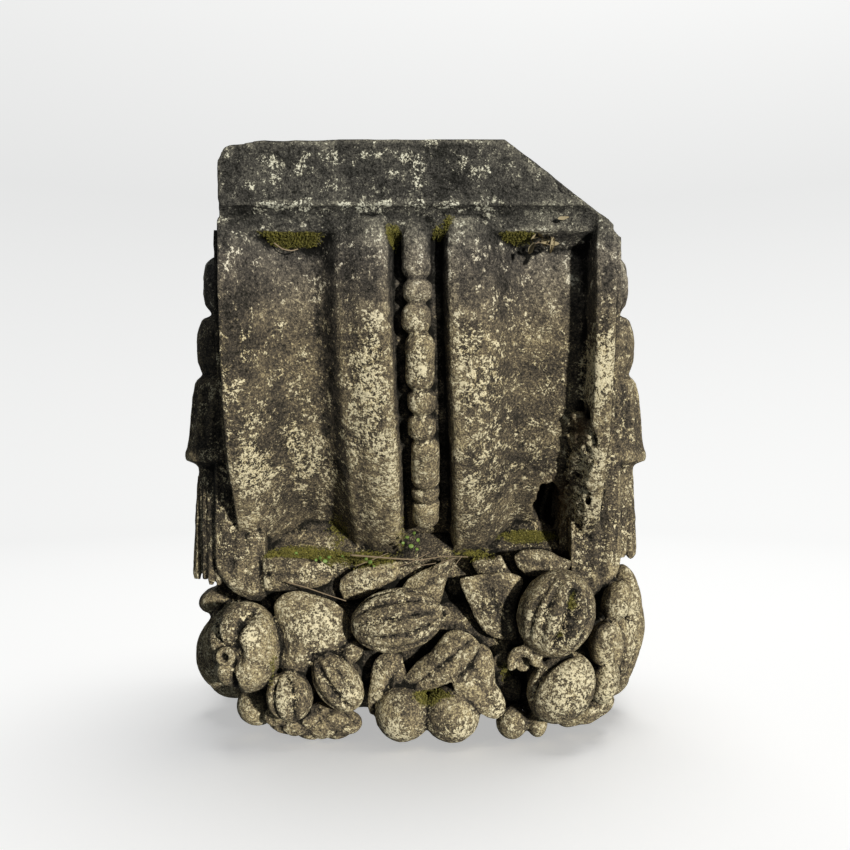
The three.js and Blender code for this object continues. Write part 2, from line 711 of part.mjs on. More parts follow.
// The stone left behind a fruit, which ties it to the bed
function root(item) {
  const [x, y, z] = item.at;
  const girth = Math.min(...item.radii) * grow;
  const tip = new THREE.Vector3(x * 0.88, -BED_REACH * 0.7, BED_Z + (z - BED_Z) * 0.6);
  const along = new THREE.Vector3(x, y, z).sub(tip);
  const geometry = new THREE.CylinderGeometry(girth * 0.7, girth, along.length(), 4);
  geometry.applyQuaternion(
    new THREE.Quaternion().setFromUnitVectors(new THREE.Vector3(0, 1, 0), along.clone().normalize()),
  );
  geometry.translate(...tip.addScaledVector(along, HALF).toArray());
  return solidOf(geometry);
}

function onBed(item) {
  const [x, y, z] = item.at;
  return { ...item, at: [bedX(x), y, bedZ(z)] };
}

function garland() {
  const front = FRONT_FRUIT.map(onBed);
  const made = [
    ...Object.values(FRONT_LEAVES).map(frontLeaf),
    ...front.map(fruit),
    ...front.map(root),
    fruit(onBed(POD)),
    tendril(),
  ];
  const sideX = BODY_WIDTH * HALF;
  for (const sign of Object.values(sideSigns)) {
    for (const item of SIDE_FRUIT) {
      const at = [sign * (sideX + item.proud), bedY(item.deep), bedZ(item.z)];
      made.push(fruit({ ...item, at, face: sign * 90, detail: [6, 4] }));
    }
    for (const item of SIDE_LEAVES) {
      const at = [sign * (sideX + item.proud), bedY(item.deep), bedZ(item.z)];
      made.push(leaf({ ...item, at, face: sign * 90, lean: sign * item.lean, dome: 9, thick: 24 }));
    }
  }
  return join(made);
}

// What weather and knocks have taken off the right rim: how far in from the rim's outer edge, how
// far behind the forward line and at what share of the band's height, and the size of the loss
const SPALLS = [
  { inset: 38, setback: 132, share: 0.17, radii: [22, 26, 44], lean: -8 },
  { inset: 23, setback: 62, share: 0.41, radii: [13, 26, 44], lean: 4 },
  { inset: 15, setback: 100, share: 0.26, radii: [13, 24, 30], lean: -6 },
];

function spalls() {
  return join(
    SPALLS.map((item) => {
      const z = BAND_FOOT_Z + (ARC_START_Z - BAND_FOOT_Z) * item.share;
      return fruit({ ...item, at: [BAND_WIDTH * HALF - item.inset, -PROJECTION + item.setback, z], detail: [7, 5] });
    }),
  );
}

function bracket() {
  const front = scrollBand().add(beads()).subtract(spalls());
  const carved = join([
    body(),
    bedSlab(),
    front,
    foot(),
    tongue(-1),
    tongue(1),
    tassel("left"),
    tassel("right"),
    garlandBed(),
    garland(),
  ]);
  // everything stops at the wall face
  const size = 4 * PROJECTION;
  const wall = new THREE.BoxGeometry(size, size, size);
  wall.translate(0, size * HALF, 0);
  return filled(carved.subtract(solidOf(wall)).simplify(FACET_TOLERANCE));
}

// The outer skin alone, so that gaps sealed in behind the garland are solid stone
function filled(solid) {
  const bodies = solid.decompose().filter((shell) => shell.volume() > SLIVER_VOLUME);
  if (bodies.length > 1) {
    const places = bodies.map((one) => JSON.stringify(one.boundingBox())).join("\n");
    throw new Error(`the bracket is in ${bodies.length} bodies:\n${places}`);
  }
  return bodies[0];
}

const stone = new THREE.MeshStandardMaterial({ color: 0x6f6a5a, roughness: 0.95, metalness: 0 });

const part = new THREE.Group();
const block = new THREE.Mesh(geometryOf(bracket()), stone);
block.name = "bracket_stone";
part.add(block);

export default part;
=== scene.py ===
# %% [markdown]
# # A stone balcony bracket, seen from the front
#
# Blender dresses a part whose solids are already fixed. The frame holds that part, and every piece made
# here sits in the same place, in metres, with +Z up and the front towards -Y. The origin is on the wall
# face, on the centre line.

import json
import math

import bmesh
import bpy
import numpy as np
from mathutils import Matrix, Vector
from mathutils.bvhtree import BVHTree

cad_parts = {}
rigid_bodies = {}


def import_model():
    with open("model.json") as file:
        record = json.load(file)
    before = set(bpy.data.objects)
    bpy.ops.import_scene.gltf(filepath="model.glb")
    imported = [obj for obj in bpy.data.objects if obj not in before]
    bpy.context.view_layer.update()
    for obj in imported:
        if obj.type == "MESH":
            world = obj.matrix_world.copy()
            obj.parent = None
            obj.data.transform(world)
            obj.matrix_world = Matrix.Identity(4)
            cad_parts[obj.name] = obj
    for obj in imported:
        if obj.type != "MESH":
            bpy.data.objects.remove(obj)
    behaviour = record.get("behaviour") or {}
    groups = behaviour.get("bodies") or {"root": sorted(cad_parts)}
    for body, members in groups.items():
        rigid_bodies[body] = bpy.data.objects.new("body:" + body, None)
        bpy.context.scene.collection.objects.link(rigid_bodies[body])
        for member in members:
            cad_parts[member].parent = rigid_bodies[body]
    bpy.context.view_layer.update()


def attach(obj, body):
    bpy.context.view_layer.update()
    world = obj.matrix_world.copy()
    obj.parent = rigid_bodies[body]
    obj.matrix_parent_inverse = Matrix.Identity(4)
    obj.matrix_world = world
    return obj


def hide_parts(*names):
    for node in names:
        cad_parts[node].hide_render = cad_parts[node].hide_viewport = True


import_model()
MM = 0.001

# %% [markdown]
# ## Camera
#
# The bracket is seen square on, from 1.4 metres off the wall face, about a metre from its front. A camera
# with 1000 pixels of focal length in a frame 850 wide needs a lens of 36 * 1000 / 850 mm. It stands level,
# so uprights stay upright, and a hair right of the centre line.

# %% Place the camera
FRAME_PIXELS = 850
FOCAL_PIXELS = 1000
CAMERA_X = 8
CAMERA_Y = -1400
CAMERA_Z = 26
camera_data = bpy.data.cameras.new("camera")
camera_data.sensor_width = 36
camera_data.lens = 36 * FOCAL_PIXELS / FRAME_PIXELS
camera = bpy.data.objects.new("camera", camera_data)
camera.location = (CAMERA_X * MM, CAMERA_Y * MM, CAMERA_Z * MM)
camera.rotation_euler = (math.pi / 2, 0, 0)
bpy.context.collection.objects.link(camera)
bpy.context.scene.camera = camera
print("lens:", round(camera_data.lens, 2), "mm")

# %% [markdown]
# ## Sizes
#
# The carver's sizes, in millimetres. The same values drive the solid, so a form made from them lands on
# it. The stone is one block, but it is drawn as many overlapping closed forms that are fused later.

# %% Name the sizes
TOP_Z = 310
SLAB_HALF = 198.5
SLAB_UNDER = 244
FRONT = -400
SLAB_FRONT = -408
BAND_HALF = 201
BAND_THICK = 62
ARC_DEPTH = 325
ARC_HEIGHT = 380
ARC_TOP = 200
BAND_FOOT = -120
BODY_HALF = 211
BODY_TOP = 228
BASE = -298
FOOT_FRONT = -270
FOOT_HALF = 176
BED_MIDDLE = -218
BED_HALF = 244
BED_REACH = 290
BED_RISE = 80
SECTION_STEP = 3.0 / 1.3
print("bracket:", 2 * BAND_HALF, "mm wide across the front,", TOP_Z - BASE, "mm high")

# %% [markdown]
# ## Helpers for closed forms
#
# A closed form is kept as a list of points in millimetres and a list of faces. Rings of points, joined
# ring to ring with a face at each end, are enough for a swept band, a lathe-turned tassel, a fruit and a
# leaf alike.

# %% Join rings into closed forms
forms = []


def closed_form(points, faces):
    return np.asarray(points, float), faces


def loft(rings):
    rings = [np.asarray(ring, float) for ring in rings]
    count = len(rings[0])
    faces = [list(range(count))[::-1]]
    for r in range(len(rings) - 1):
        for i in range(count):
            j = (i + 1) % count
            faces.append([r * count + i, r * count + j, (r + 1) * count + j, (r + 1) * count + i])
    last = (len(rings) - 1) * count
    faces.append([last + i for i in range(count)])
    return closed_form(np.concatenate(rings), faces)


def extrude_x(profile, half_width):
    # a side profile of (y, z) points drawn across the bracket
    flat = np.asarray(profile, float)
    side = np.full((len(flat), 1), float(half_width))
    return loft([np.hstack([-side, flat]), np.hstack([side, flat])])


def angles(count):
    # even steps once round, in radians
    return np.arange(count) * 2 * math.pi / count


def smooth_ramp(low, high, value):
    t = np.clip((np.asarray(value, float) - low) / (high - low), 0, 1)
    return t * t * (3 - 2 * t)


print("helpers ready")

# %% Turn a form into a mesh, and cut one form with another
def mesh_of(form, name):
    points, faces = form
    mesh = bpy.data.meshes.new(name)
    mesh.from_pydata((points * MM).tolist(), [], faces)
    mesh.validate()
    return mesh


def object_of(mesh, name):
    thing = bpy.data.objects.new(name, mesh)
    bpy.context.collection.objects.link(thing)
    return thing


def finished(thing):
    # the mesh as its modifiers leave it, and the working object thrown away
    graph = bpy.context.evaluated_depsgraph_get()
    mesh = bpy.data.meshes.new_from_object(thing.evaluated_get(graph), depsgraph=graph)
    bpy.data.objects.remove(thing)
    return mesh


def outward(mesh):
    shell = bmesh.new()
    shell.from_mesh(mesh)
    bmesh.ops.recalc_face_normals(shell, faces=shell.faces)
    shell.to_mesh(mesh)
    shell.free()
    return mesh


def points_of(mesh):
    # the mesh's points in millimetres
    points = np.empty(len(mesh.vertices) * 3)
    mesh.vertices.foreach_get("co", points)
    return points.reshape(-1, 3) / MM


def form_of(mesh):
    return closed_form(points_of(mesh), [list(face.vertices) for face in mesh.polygons])


def cut_away(form, cutters):
    whole = object_of(outward(mesh_of(form, "whole")), "whole")
    tools = []
    for cutter in cutters:
        tool = object_of(outward(mesh_of(cutter, "cutter")), "cutter")
        cut = whole.modifiers.new("cut", "BOOLEAN")
        cut.object = tool
        cut.operation = "DIFFERENCE"
        cut.solver = "MANIFOLD"
        tools.append(tool)
    left = form_of(finished(whole))
    for tool in tools:
        bpy.data.objects.remove(tool)
    return left


def fused(parts, name):
    points, faces, offset = [], [], 0
    for part_points, part_faces in parts:
        points.append(part_points)
        faces.extend([[offset + i for i in face] for face in part_faces])
        offset += len(part_points)
    return mesh_of(closed_form(np.concatenate(points), faces), name)


print("cutters ready")

# %% [markdown]
# ## The scroll front
#
# The front is one section (rim, channel, roll, groove, roll, channel, rim) carried down a quarter of an
# ellipse that falls back to the foot. It is swept ring by ring along that line, square to it, which is
# how a mason's template is held. The middle wanders to the right on its way down, as on the real one.

# %% Follow the falling line
ARC_END = math.asin((ARC_TOP - BAND_FOOT) / ARC_HEIGHT)


def arc_at(angle):
    # the place on the line, and the direction straight into the stone there
    inward = np.array([ARC_HEIGHT * math.cos(angle), ARC_DEPTH * math.sin(angle)])
    place = (FRONT + ARC_DEPTH * (1 - math.cos(angle)), ARC_TOP - ARC_HEIGHT * math.sin(angle))
    return place, inward / np.linalg.norm(inward)


def falling_line(top_z, steps):
    line = [((FRONT, z), np.array([1.0, 0.0])) for z in np.arange(top_z, ARC_TOP, -6.0)]
    return line + [arc_at(ARC_END * i / steps) for i in range(steps + 1)]


def drift(z):
    return 11 * smooth_ramp(0, 1, (ARC_TOP - z) / (ARC_TOP - BAND_FOOT))


print("the line turns through", round(math.degrees(ARC_END)), "degrees of its ellipse")

# %% Draw the section and sweep it
ROLL = [
    # distance from the middle, depth below the rim, from the groove over the roll to the channel
    (26, 25), (27.5, 14), (30, 5), (34, 1.2), (40, 0), (50, 0.6), (58, 2.2), (65, 4.9), (71, 8.3),
    (76, 11.6), (80, 15), (84, 19), (88, 23.3), (92, 27.6), (96, 31.4), (100, 34.4), (105, 36.9),
    (111, 38.2), (118, 38.6),
]
RIGHT = [(0, 25)] + ROLL + [
    (150, 38.4), (166, 37.6), (173, 36), (176.5, 32), (178.5, 6), (180.5, 1.5), (184, 0), (198, 0),
    (200.4, 1), (BAND_HALF, 3),
]
LEFT = [
    (-BAND_HALF, 3), (-200.4, 1), (-198, 0), (-189, 0.8), (-182, 3.4), (-175, 8.2), (-168, 14.8),
    (-161, 21.8), (-154, 28.2), (-147, 33), (-140, 36.2), (-131, 38.2), (-118, 38.6), (-111, 38.3),
    (-106, 37.2), (-102, 35), (-98, 31.4), (-94, 26.7), (-90, 21.6), (-86, 16.6), (-82, 12.3), (-77, 8.8),
]
LEFT += [(-u, depth) for u, depth in ROLL[::-1] if u < 72]
SECTION = np.array(LEFT + RIGHT)


def band_ring(place, inward):
    # across the front, then round the right edge, along the back and up the left edge
    z = place[1]
    u = np.concatenate([[-BAND_HALF], np.arange(-200.4, 200.5, SECTION_STEP), [BAND_HALF]])
    depth = np.interp(u, SECTION[:, 0], SECTION[:, 1])
    side = np.linspace(8, BAND_THICK, 14)
    back = np.linspace(190, -190, 20)
    u = np.concatenate([u, np.full(len(side), BAND_HALF), back, np.full(len(side), -BAND_HALF)])
    depth = np.concatenate([depth, side, np.full(len(back), BAND_THICK), side[::-1]])
    # the right rim's upper corner is worn round
    u = np.minimum(u, BAND_HALF - 11 * smooth_ramp(198, 240, z) ** 2)
    share = np.abs(u) / BAND_HALF
    x = u + drift(z) * (1 - share**2)
    return np.column_stack([x, place[0] + inward[0] * depth, z + inward[1] * depth])


band = loft([band_ring(*at) for at in falling_line(233, 130)])
print("band:", len(band[0]), "points")

# %% [markdown]
# ## What weather and knocks took off the front
#
# The inner edge of the right rim has spalled, and above the foot there is a deep pit. Rough lumps are
# cut out of the band for them. A lump is a ball whose skin goes in and out in a few fixed waves. Small
# angular shards are left standing along the break, because limestone snaps off in corners.

# %% Shape fruit-like balls and lumps
def turned(x_deg, y_deg, z_deg):
    a, b, c = (math.radians(v) for v in (x_deg, y_deg, z_deg))
    rx = np.array([[1, 0, 0], [0, math.cos(a), -math.sin(a)], [0, math.sin(a), math.cos(a)]])
    ry = np.array([[math.cos(b), 0, math.sin(b)], [0, 1, 0], [-math.sin(b), 0, math.cos(b)]])
    rz = np.array([[math.cos(c), -math.sin(c), 0], [math.sin(c), math.cos(c), 0], [0, 0, 1]])
    return rx, ry, rz


def placed(points, at, spin=0, nod=0, lean=0, face=0):
    # spin about its own axis, nod to the front, lean to the right, then face another way
    _, _, spun = turned(0, 0, spin)
    nodded, leaned, _ = turned(nod, lean, 0)
    _, _, faced = turned(0, 0, face)
    return points @ (faced @ leaned @ nodded @ spun).T + np.asarray(at, float)


def ball(at, radii, skin=None, around=56, along=40, bend=0, **pose):
    # latitude rings from pole to pole; skin(angle, share of the way up) pulls each point in or out
    angle = angles(around)
    rings = []
    for k in range(1, along):
        z = -math.cos(math.pi * k / along)
        flat = math.sqrt(max(0.0, 1 - z * z))
        scale = np.ones(around) if skin is None else skin(angle, (z + 1) / 2)
        x = np.cos(angle) * flat * radii[0] * scale + bend * z * z
        ring = np.column_stack([x, np.sin(angle) * flat * radii[1] * scale, z * radii[2] * scale])
        rings.append(placed(ring, at, **pose))
    return loft(rings)


def lump(at, radii, seed, **pose):
    waves = np.random.default_rng(seed).uniform(0, 6.28, 6)

    def skin(angle, t):
        wave = np.sin(3 * angle + waves[0] + 5 * t) + 0.6 * np.sin(5 * angle - waves[1] + 9 * t)
        return 1 + 0.07 * wave + 0.05 * np.sin(9 * angle + waves[2] + 17 * t)

    return ball(at, radii, skin, **pose)


print("balls ready")

# %% Cut the spalls out of the band
pit = lump((150, -246, -60), (18, 38, 38), 1, lean=-8)
spalls = [
    pit,
    lump((177, -338, 12), (13, 25, 42), 2, lean=4),
    lump((185, -300, -34), (12, 23, 30), 3, lean=-6),
    lump((-201, -352, -40), (4, 12, 18), 4),
    lump((40, -286, -96), (6, 8, 12), 5),
]
forms.append(cut_away(band, spalls))
print("band after the spalls:", len(forms[-1][0]), "points")

# %% Leave broken stone along the rim's inner edge
def shard(at, size, chance):
    # a block with every corner knocked about, turned at random
    corners = np.array([(x, y, z) for z in (-1, 1) for x, y in ((-1, -1), (1, -1), (1, 1), (-1, 1))], float)
    corners = corners * size + chance.uniform(-0.3, 0.3, (8, 3)) * size
    spin, nod, lean = chance.uniform(-90, 90, 3)
    corners = placed(corners, at, spin=spin, nod=nod, lean=lean)
    return loft([corners[:4], corners[4:]])


chance = np.random.default_rng(21)
rubble = []
for (y, z), inward in falling_line(60, 300):
    if not -96 < z < 26:
        continue
    share = chance.uniform(0.0, 0.9)
    deep = 9 + 27 * share
    x = 187 - 22 * share + chance.uniform(-2, 2)
    at = (x, y + inward[0] * deep, z + inward[1] * deep)
    rubble.append(shard(at, chance.uniform(3, 6.5, 3), chance))
forms += rubble
print("shards of broken stone:", len(rubble))

# %% [markdown]
# ## The bed slab
#
# A plain slab with a hollow moulding under it. Its right front corner has broken away along one slanting
# face, and its upper arris is chipped, worst at the left. Blocks and lumps are cut out of it.

# %% Make the slab and break its corner
slab_profile = [
    (0, 204), (FRONT + 50, 204), (FRONT + 38, 209), (FRONT + 24, 216), (SLAB_FRONT + 17, 222),
    (SLAB_FRONT + 15, 227), (SLAB_FRONT + 13.5, 233), (SLAB_FRONT + 11, 238), (SLAB_FRONT + 7.5, 241.5),
    (SLAB_FRONT + 5, 242.5), (SLAB_FRONT + 4.5, SLAB_UNDER), (SLAB_FRONT, SLAB_UNDER), (SLAB_FRONT, TOP_Z),
    (0, TOP_Z),
]
slab = extrude_x(slab_profile, SLAB_HALF)


def wedge(start, end, back, thickness=200):
    # a block whose one face holds three points of the break
    start, end, back = (np.asarray(p, float) for p in (start, end, back))
    across = (end - start) / np.linalg.norm(end - start)
    out = np.cross(across, back - start)
    out /= np.linalg.norm(out)
    if out[2] < 0:
        out = -out
    along = np.cross(out, across)
    rings = []
    for depth in (0, thickness):
        corners = [(-900, -900), (900, -900), (900, 900), (-900, 900)]
        rings.append([start + across * a + along * b + out * depth for a, b in corners])
    return loft(rings)


chips = [
    wedge((SLAB_HALF - 112, SLAB_FRONT, TOP_Z), (SLAB_HALF - 27, SLAB_FRONT, SLAB_UNDER),
          (SLAB_HALF, SLAB_FRONT + 273, TOP_Z)),
    wedge((-182, SLAB_FRONT, TOP_Z - 4), (-192, SLAB_FRONT, TOP_Z - 9), (-186, -330, TOP_Z + 1)),
    wedge((-191, SLAB_FRONT, TOP_Z - 8), (-199.5, SLAB_FRONT, TOP_Z - 23), (-195, -330, TOP_Z - 5)),
    lump((-204, -404, 322), (62, 56, 17.5), 11),
    lump((-182, -414, 312), (44, 16, 8), 12, lean=-2),
    lump((-120, -416, 313), (52, 16, 8), 13),
    lump((-203, -412, 244), (8, 14, 9), 14),
    lump((-70, -412, 240), (30, 6, 4), 15),
    lump((60, -411, 242), (22, 5, 4), 16),
    lump((-10, -414, 312), (60, 10, 4.5), 17),
    lump((152, -408, 268), (20, 12, 14), 18, lean=40),
    lump((116, -408, 293), (18, 12, 9), 19, lean=35),
]
forms.append(cut_away(slab, chips))
print("slab cut", len(chips), "times")

# %% [markdown]
# ## The body behind the front
#
# The side faces stand a little prouder than the front's rims and have a sunk panel each. The profile
# repeats the front's falling line, set back by part of the rim's thickness. The core between the two
# cheeks is set back further, so that it stays behind the floors of the channels.

# %% Make the body with sunk panels
def body_profile(setback, inset=0):
    outer = []
    for (y, z), inward in falling_line(BODY_TOP, 40):
        depth = setback + inset
        outer.append((y + inward[0] * depth, z + inward[1] * depth))
    foot_y = FRONT + 170 + inset
    outer = [(y, min(z, BODY_TOP - inset)) for y, z in outer if y < foot_y - 1]
    return outer + [(foot_y, BAND_FOOT + 34), (foot_y, BASE + inset), (-inset, BASE + inset),
                    (-inset, BODY_TOP - inset)]


def shifted(form, x):
    return form[0] + np.array([x, 0, 0]), form[1]


CHEEK = 16
CHEEK_SETBACK = 34
CORE_SETBACK = 56
PANEL_DEPTH = 9
forms.append(cut_away(extrude_x(body_profile(CORE_SETBACK), BODY_HALF - CHEEK), [pit]))
panel = extrude_x(body_profile(CHEEK_SETBACK, 26), PANEL_DEPTH)
worn_corner = lump((216, -372, 236), (17, 40, 16), 8)
for sign in (-1, 1):
    cheek = shifted(extrude_x(body_profile(CHEEK_SETBACK), CHEEK), sign * (BODY_HALF - CHEEK))
    cutters = [shifted(panel, sign * BODY_HALF)]
    if sign > 0:
        cutters.append(worn_corner)
    forms.append(cut_away(cheek, cutters))
print("body:", 2 * BODY_HALF, "mm wide, panels sunk", PANEL_DEPTH, "mm")

# %% [markdown]
# ## Foot, ledge and the bed of the garland
#
# Below the scroll a sloping ledge leads out to the foot. The garland is cut from a rounded mass that
# runs round the foot from wall to wall, so that every fruit has stone behind it.

# %% Make the foot and the garland's bed
(end_y, end_z), end_in = arc_at(ARC_END)
ledge_top = end_z + end_in[1] * BAND_THICK - 8
foot_profile = [
    (end_y + end_in[0] * BAND_THICK, ledge_top), (end_y, end_z - 4), (FOOT_FRONT, end_z - 22),
    (FOOT_FRONT, BASE + 16), (FOOT_FRONT + 16, BASE), (-200, BASE), (-200, ledge_top),
]
forms.append(extrude_x(foot_profile, FOOT_HALF))


def bulge(v, power):
    return np.sign(v) * np.abs(v) ** (2 / power)


def garland_bed():
    # a box with much rounded sides, cut off at the wall
    rings = []
    around = 160
    angle = angles(around)
    for k in range(1, 40):
        z = -math.cos(math.pi * k / 40)
        spread = math.sqrt(1 - z * z) ** (2 / 3)
        x = BED_HALF * bulge(np.cos(angle), 4.5) * spread
        y = np.minimum(BED_REACH * bulge(np.sin(angle), 4.5) * spread, 0)
        rings.append(np.column_stack([x, y, np.full(around, BED_MIDDLE + BED_RISE * bulge(z, 3))]))
    return loft(rings)


forms.append(garland_bed())
print("foot and bed added")

# %% [markdown]
# ## Bead and reel
#
# A string of turned beads lies in the middle groove: a long one and two round ones, over and over.
# Geometry Nodes put one bead on each place and turn it to the falling line, which is how one would
# thread the string again if its spacing changed. Each tree gets its sizes and its material as inputs.

# %% Add nodes with one helper
def node(tree, kind, inputs=None, **settings):
    made = tree.nodes.new(kind)
    for key, value in settings.items():
        setattr(made, key, value)
    for key, value in (inputs or {}).items():
        socket = made.inputs[key]
        if isinstance(value, bpy.types.NodeSocket):
            tree.links.new(value, socket)
        else:
            socket.default_value = value
    return made


print("node helper ready")

# %% Open, close and run a tree of Geometry Nodes
def geometry_tree(name, sizes):
    # a tree with a geometry going in and out and a named input for each size and for the material
    tree = bpy.data.node_groups.new(name, "GeometryNodeTree")
    tree.interface.new_socket("Geometry", in_out="INPUT", socket_type="NodeSocketGeometry")
    for title, kind, value in sizes + [("Material", "NodeSocketMaterial", None)]:
        socket = tree.interface.new_socket(title, in_out="INPUT", socket_type=kind)
        if value is not None:
            socket.default_value = value
    tree.interface.new_socket("Geometry", in_out="OUTPUT", socket_type="NodeSocketGeometry")
    return tree, node(tree, "NodeGroupInput").outputs


def close_tree(tree, made, given):
    # every tree ends the same way: real geometry, with its material on it
    real = node(tree, "GeometryNodeRealizeInstances", {"Geometry": made.outputs[0]})
    clad = node(tree, "GeometryNodeSetMaterial", {0: real.outputs[0], "Material": given["Material"]})
    node(tree, "NodeGroupOutput", {0: clad.outputs[0]})


def with_nodes(thing, tree, **values):
    # run a tree on an object, with inputs set by their identifiers, and keep the plain mesh
    modifier = thing.modifiers.new(tree.name, "NODES")
    modifier.node_group = tree
    for item in tree.interface.items_tree:
        if item.in_out == "INPUT" and item.name in values:
            modifier[item.identifier] = values[item.name]
    return finished(thing)


limestone = bpy.data.materials.new("weathered_limestone")
print("tree helpers ready")

# %% Turn the two bead patterns
def bead(length, radius=15.2):
    reach = length / 2
    end = min(radius, reach)
    outline = [(0.25 * radius, -reach), (0.62 * radius, -reach + 0.4)]
    for t in np.linspace(0.15, 1, 6):
        outline.append((radius * (0.62 + 0.38 * math.sin(t * math.pi / 2)), -reach + end * 0.62 * t))
    outline += [(r, -z) for r, z in outline[::-1]]
    angle = angles(36)
    rings = []
    for r, z in outline:
        rings.append(np.column_stack([r * np.cos(angle), r * np.sin(angle), np.full(len(angle), z)]))
    return loft(rings)


LONG_BEAD = 61
ROUND_BEAD = 27
long_bead = object_of(mesh_of(bead(LONG_BEAD), "long_bead"), "long_bead")
round_bead = object_of(mesh_of(bead(ROUND_BEAD), "round_bead"), "round_bead")
print("bead patterns:", len(long_bead.data.vertices), "and", len(round_bead.data.vertices), "points")

# %% Thread the beads on the falling line
line = falling_line(234, 400)
steps = [0.0]
for (before, _), (after, _) in zip(line, line[1:]):
    steps.append(steps[-1] + math.dist(before, after))
steps = np.array(steps)

BEAD_LENGTHS = (58, 23, 29, 58, 26, 27, 60, 18, 36)
BEAD_GAP = 2.6
bead_places, bead_turns, bead_kinds, bead_sizes = [], [], [], []
walked = 0
for number, length in enumerate(BEAD_LENGTHS):
    (y, z), inward = line[min(int(np.searchsorted(steps, walked + length / 2)), len(line) - 1)]
    wobble = 1.2 * math.sin(number * 2.3)
    is_long = length > 30
    bead_places.append((drift(z) + wobble - 1, y + inward[0] * 14.5, z + inward[1] * 14.5))
    bead_turns.append((math.atan2(inward[1], inward[0]) + 0.04 * math.sin(number * 5.1), 0, 0))
    bead_kinds.append(0 if is_long else 1)
    bead_sizes.append((1, 1, length / (LONG_BEAD if is_long else ROUND_BEAD)))
    walked += length + BEAD_GAP

string = bpy.data.meshes.new("bead_string")
string.from_pydata([tuple(np.array(p) * MM) for p in bead_places], [], [])
for title, values in (("turn", bead_turns), ("size", bead_sizes)):
    string.attributes.new(title, "FLOAT_VECTOR", "POINT").data.foreach_set("vector", np.ravel(values))
string.attributes.new("kind", "INT", "POINT").data.foreach_set("value", bead_kinds)
print("beads on the line:", len(bead_places))

# %% Build the threading tree
thread, given = geometry_tree("thread_beads", [("Long bead", "NodeSocketObject", None),
                                               ("Round bead", "NodeSocketObject", None)])
patterns = node(thread, "GeometryNodeGeometryToInstance")
for title in ("Round bead", "Long bead"):
    pattern = node(thread, "GeometryNodeObjectInfo", {"Object": given[title]})
    thread.links.new(pattern.outputs["Geometry"], patterns.inputs[0])
read = {}
for title, data in (("turn", "FLOAT_VECTOR"), ("size", "FLOAT_VECTOR"), ("kind", "INT")):
    made = node(thread, "GeometryNodeInputNamedAttribute", {"Name": title}, data_type=data)
    read[title] = made.outputs[0]
on_points = node(thread, "GeometryNodeInstanceOnPoints", {
    "Points": node(thread, "GeometryNodeMeshToPoints", {"Mesh": given[0]}).outputs[0],
    "Instance": patterns.outputs[0],
    "Pick Instance": True,
    "Instance Index": read["kind"],
    "Rotation": node(thread, "FunctionNodeEulerToRotation", {"Euler": read["turn"]}).outputs[0],
    "Scale": read["size"],
})
close_tree(thread, on_points, given)

inputs = {"Long bead": long_bead, "Round bead": round_bead, "Material": limestone}
threaded = with_nodes(object_of(string, "bead_string"), thread, **inputs)
forms.append(form_of(threaded))
for pattern in (long_bead, round_bead):
    bpy.data.objects.remove(pattern)
print("threaded string:", len(threaded.vertices), "points")

# %% Back the beads with a bar of stone
for place, turn, length in zip(bead_places, bead_turns, BEAD_LENGTHS):
    reach = length / 2 + 3
    corners = [(-8, -2), (8, -2), (9, 22), (-9, 22)]
    rings = [[(x, y, z) for x, y in corners] for z in (-reach, reach)]
    tilt, _, _ = turned(math.degrees(turn[0]), 0, 0)
    forms.append(loft([np.asarray(ring, float) @ tilt.T + np.asarray(place) for ring in rings]))
print("forms so far:", len(forms))

# %% [markdown]
# ## Tassels
#
# On each side hangs a turned tassel: cord, knot, ball, bell with a rim, and a skirt of cords. The body
# is a lathe form whose radius waves a little round the bell. The skirt's cords are one tapered cord set
# round a circle by Geometry Nodes, so their number is one input.

# %% Turn the tassel's body
TASSEL = [
    (10, 227), (16, 226), (30, 222), (37, 214), (41, 196), (40, 180), (37, 166), (31, 158), (31, 154),
    (42, 149), (47, 134), (48, 118), (47, 100), (42, 87), (41, 84), (46, 80), (50, 75), (53, 55),
    (55, 30), (57, 10), (59, 0), (61, -5), (61.5, -11), (60, -16), (49, -19), (46, -24), (46, -34),
    (42, -42), (41, -90), (43, -120), (40, -126),
]


def tassel_body(x, y):
    angle = angles(120)
    heights = np.arange(227, -126, -2.5)
    known = np.array(TASSEL[::-1])
    radii = np.interp(heights, known[:, 1], known[:, 0])
    rings = []
    for radius, z in zip(radii, heights):
        petals = 1.6 * smooth_ramp(80, 60, z) * smooth_ramp(-6, 20, z) * np.cos(16 * angle)
        twist = 1.3 * smooth_ramp(150, 160, z) * np.cos(9 * angle + z * 0.12)
        spread = radius + petals + twist
        flat = [x + spread * np.cos(angle), y + spread * np.sin(angle)]
        rings.append(np.column_stack(flat + [np.full(len(angle), z)]))
    return loft(rings)


TASSEL_Y = FRONT * 0.55
SKIRT_TOP = -34
TASSELS = [
    # side, place across, height of the skirt's foot, seed of its cords
    ("left", -212, -156, 3), ("right", 206, -130, 8),
]
for _, x, _, _ in TASSELS:
    forms.append(tassel_body(x, TASSEL_Y))
print("tassel bodies:", len(TASSELS))

# %% Hang the skirts of cords
def cord(length):
    angle = angles(10)
    rings = []
    for t in np.linspace(0, 1, 14):
        radius = (3.4 + 0.9 * t) * (1 if t < 0.97 else 0.6)
        flat = [radius * np.cos(angle), radius * np.sin(angle)]
        rings.append(np.column_stack(flat + [np.full(len(angle), -length * t)]))
    return loft(rings)


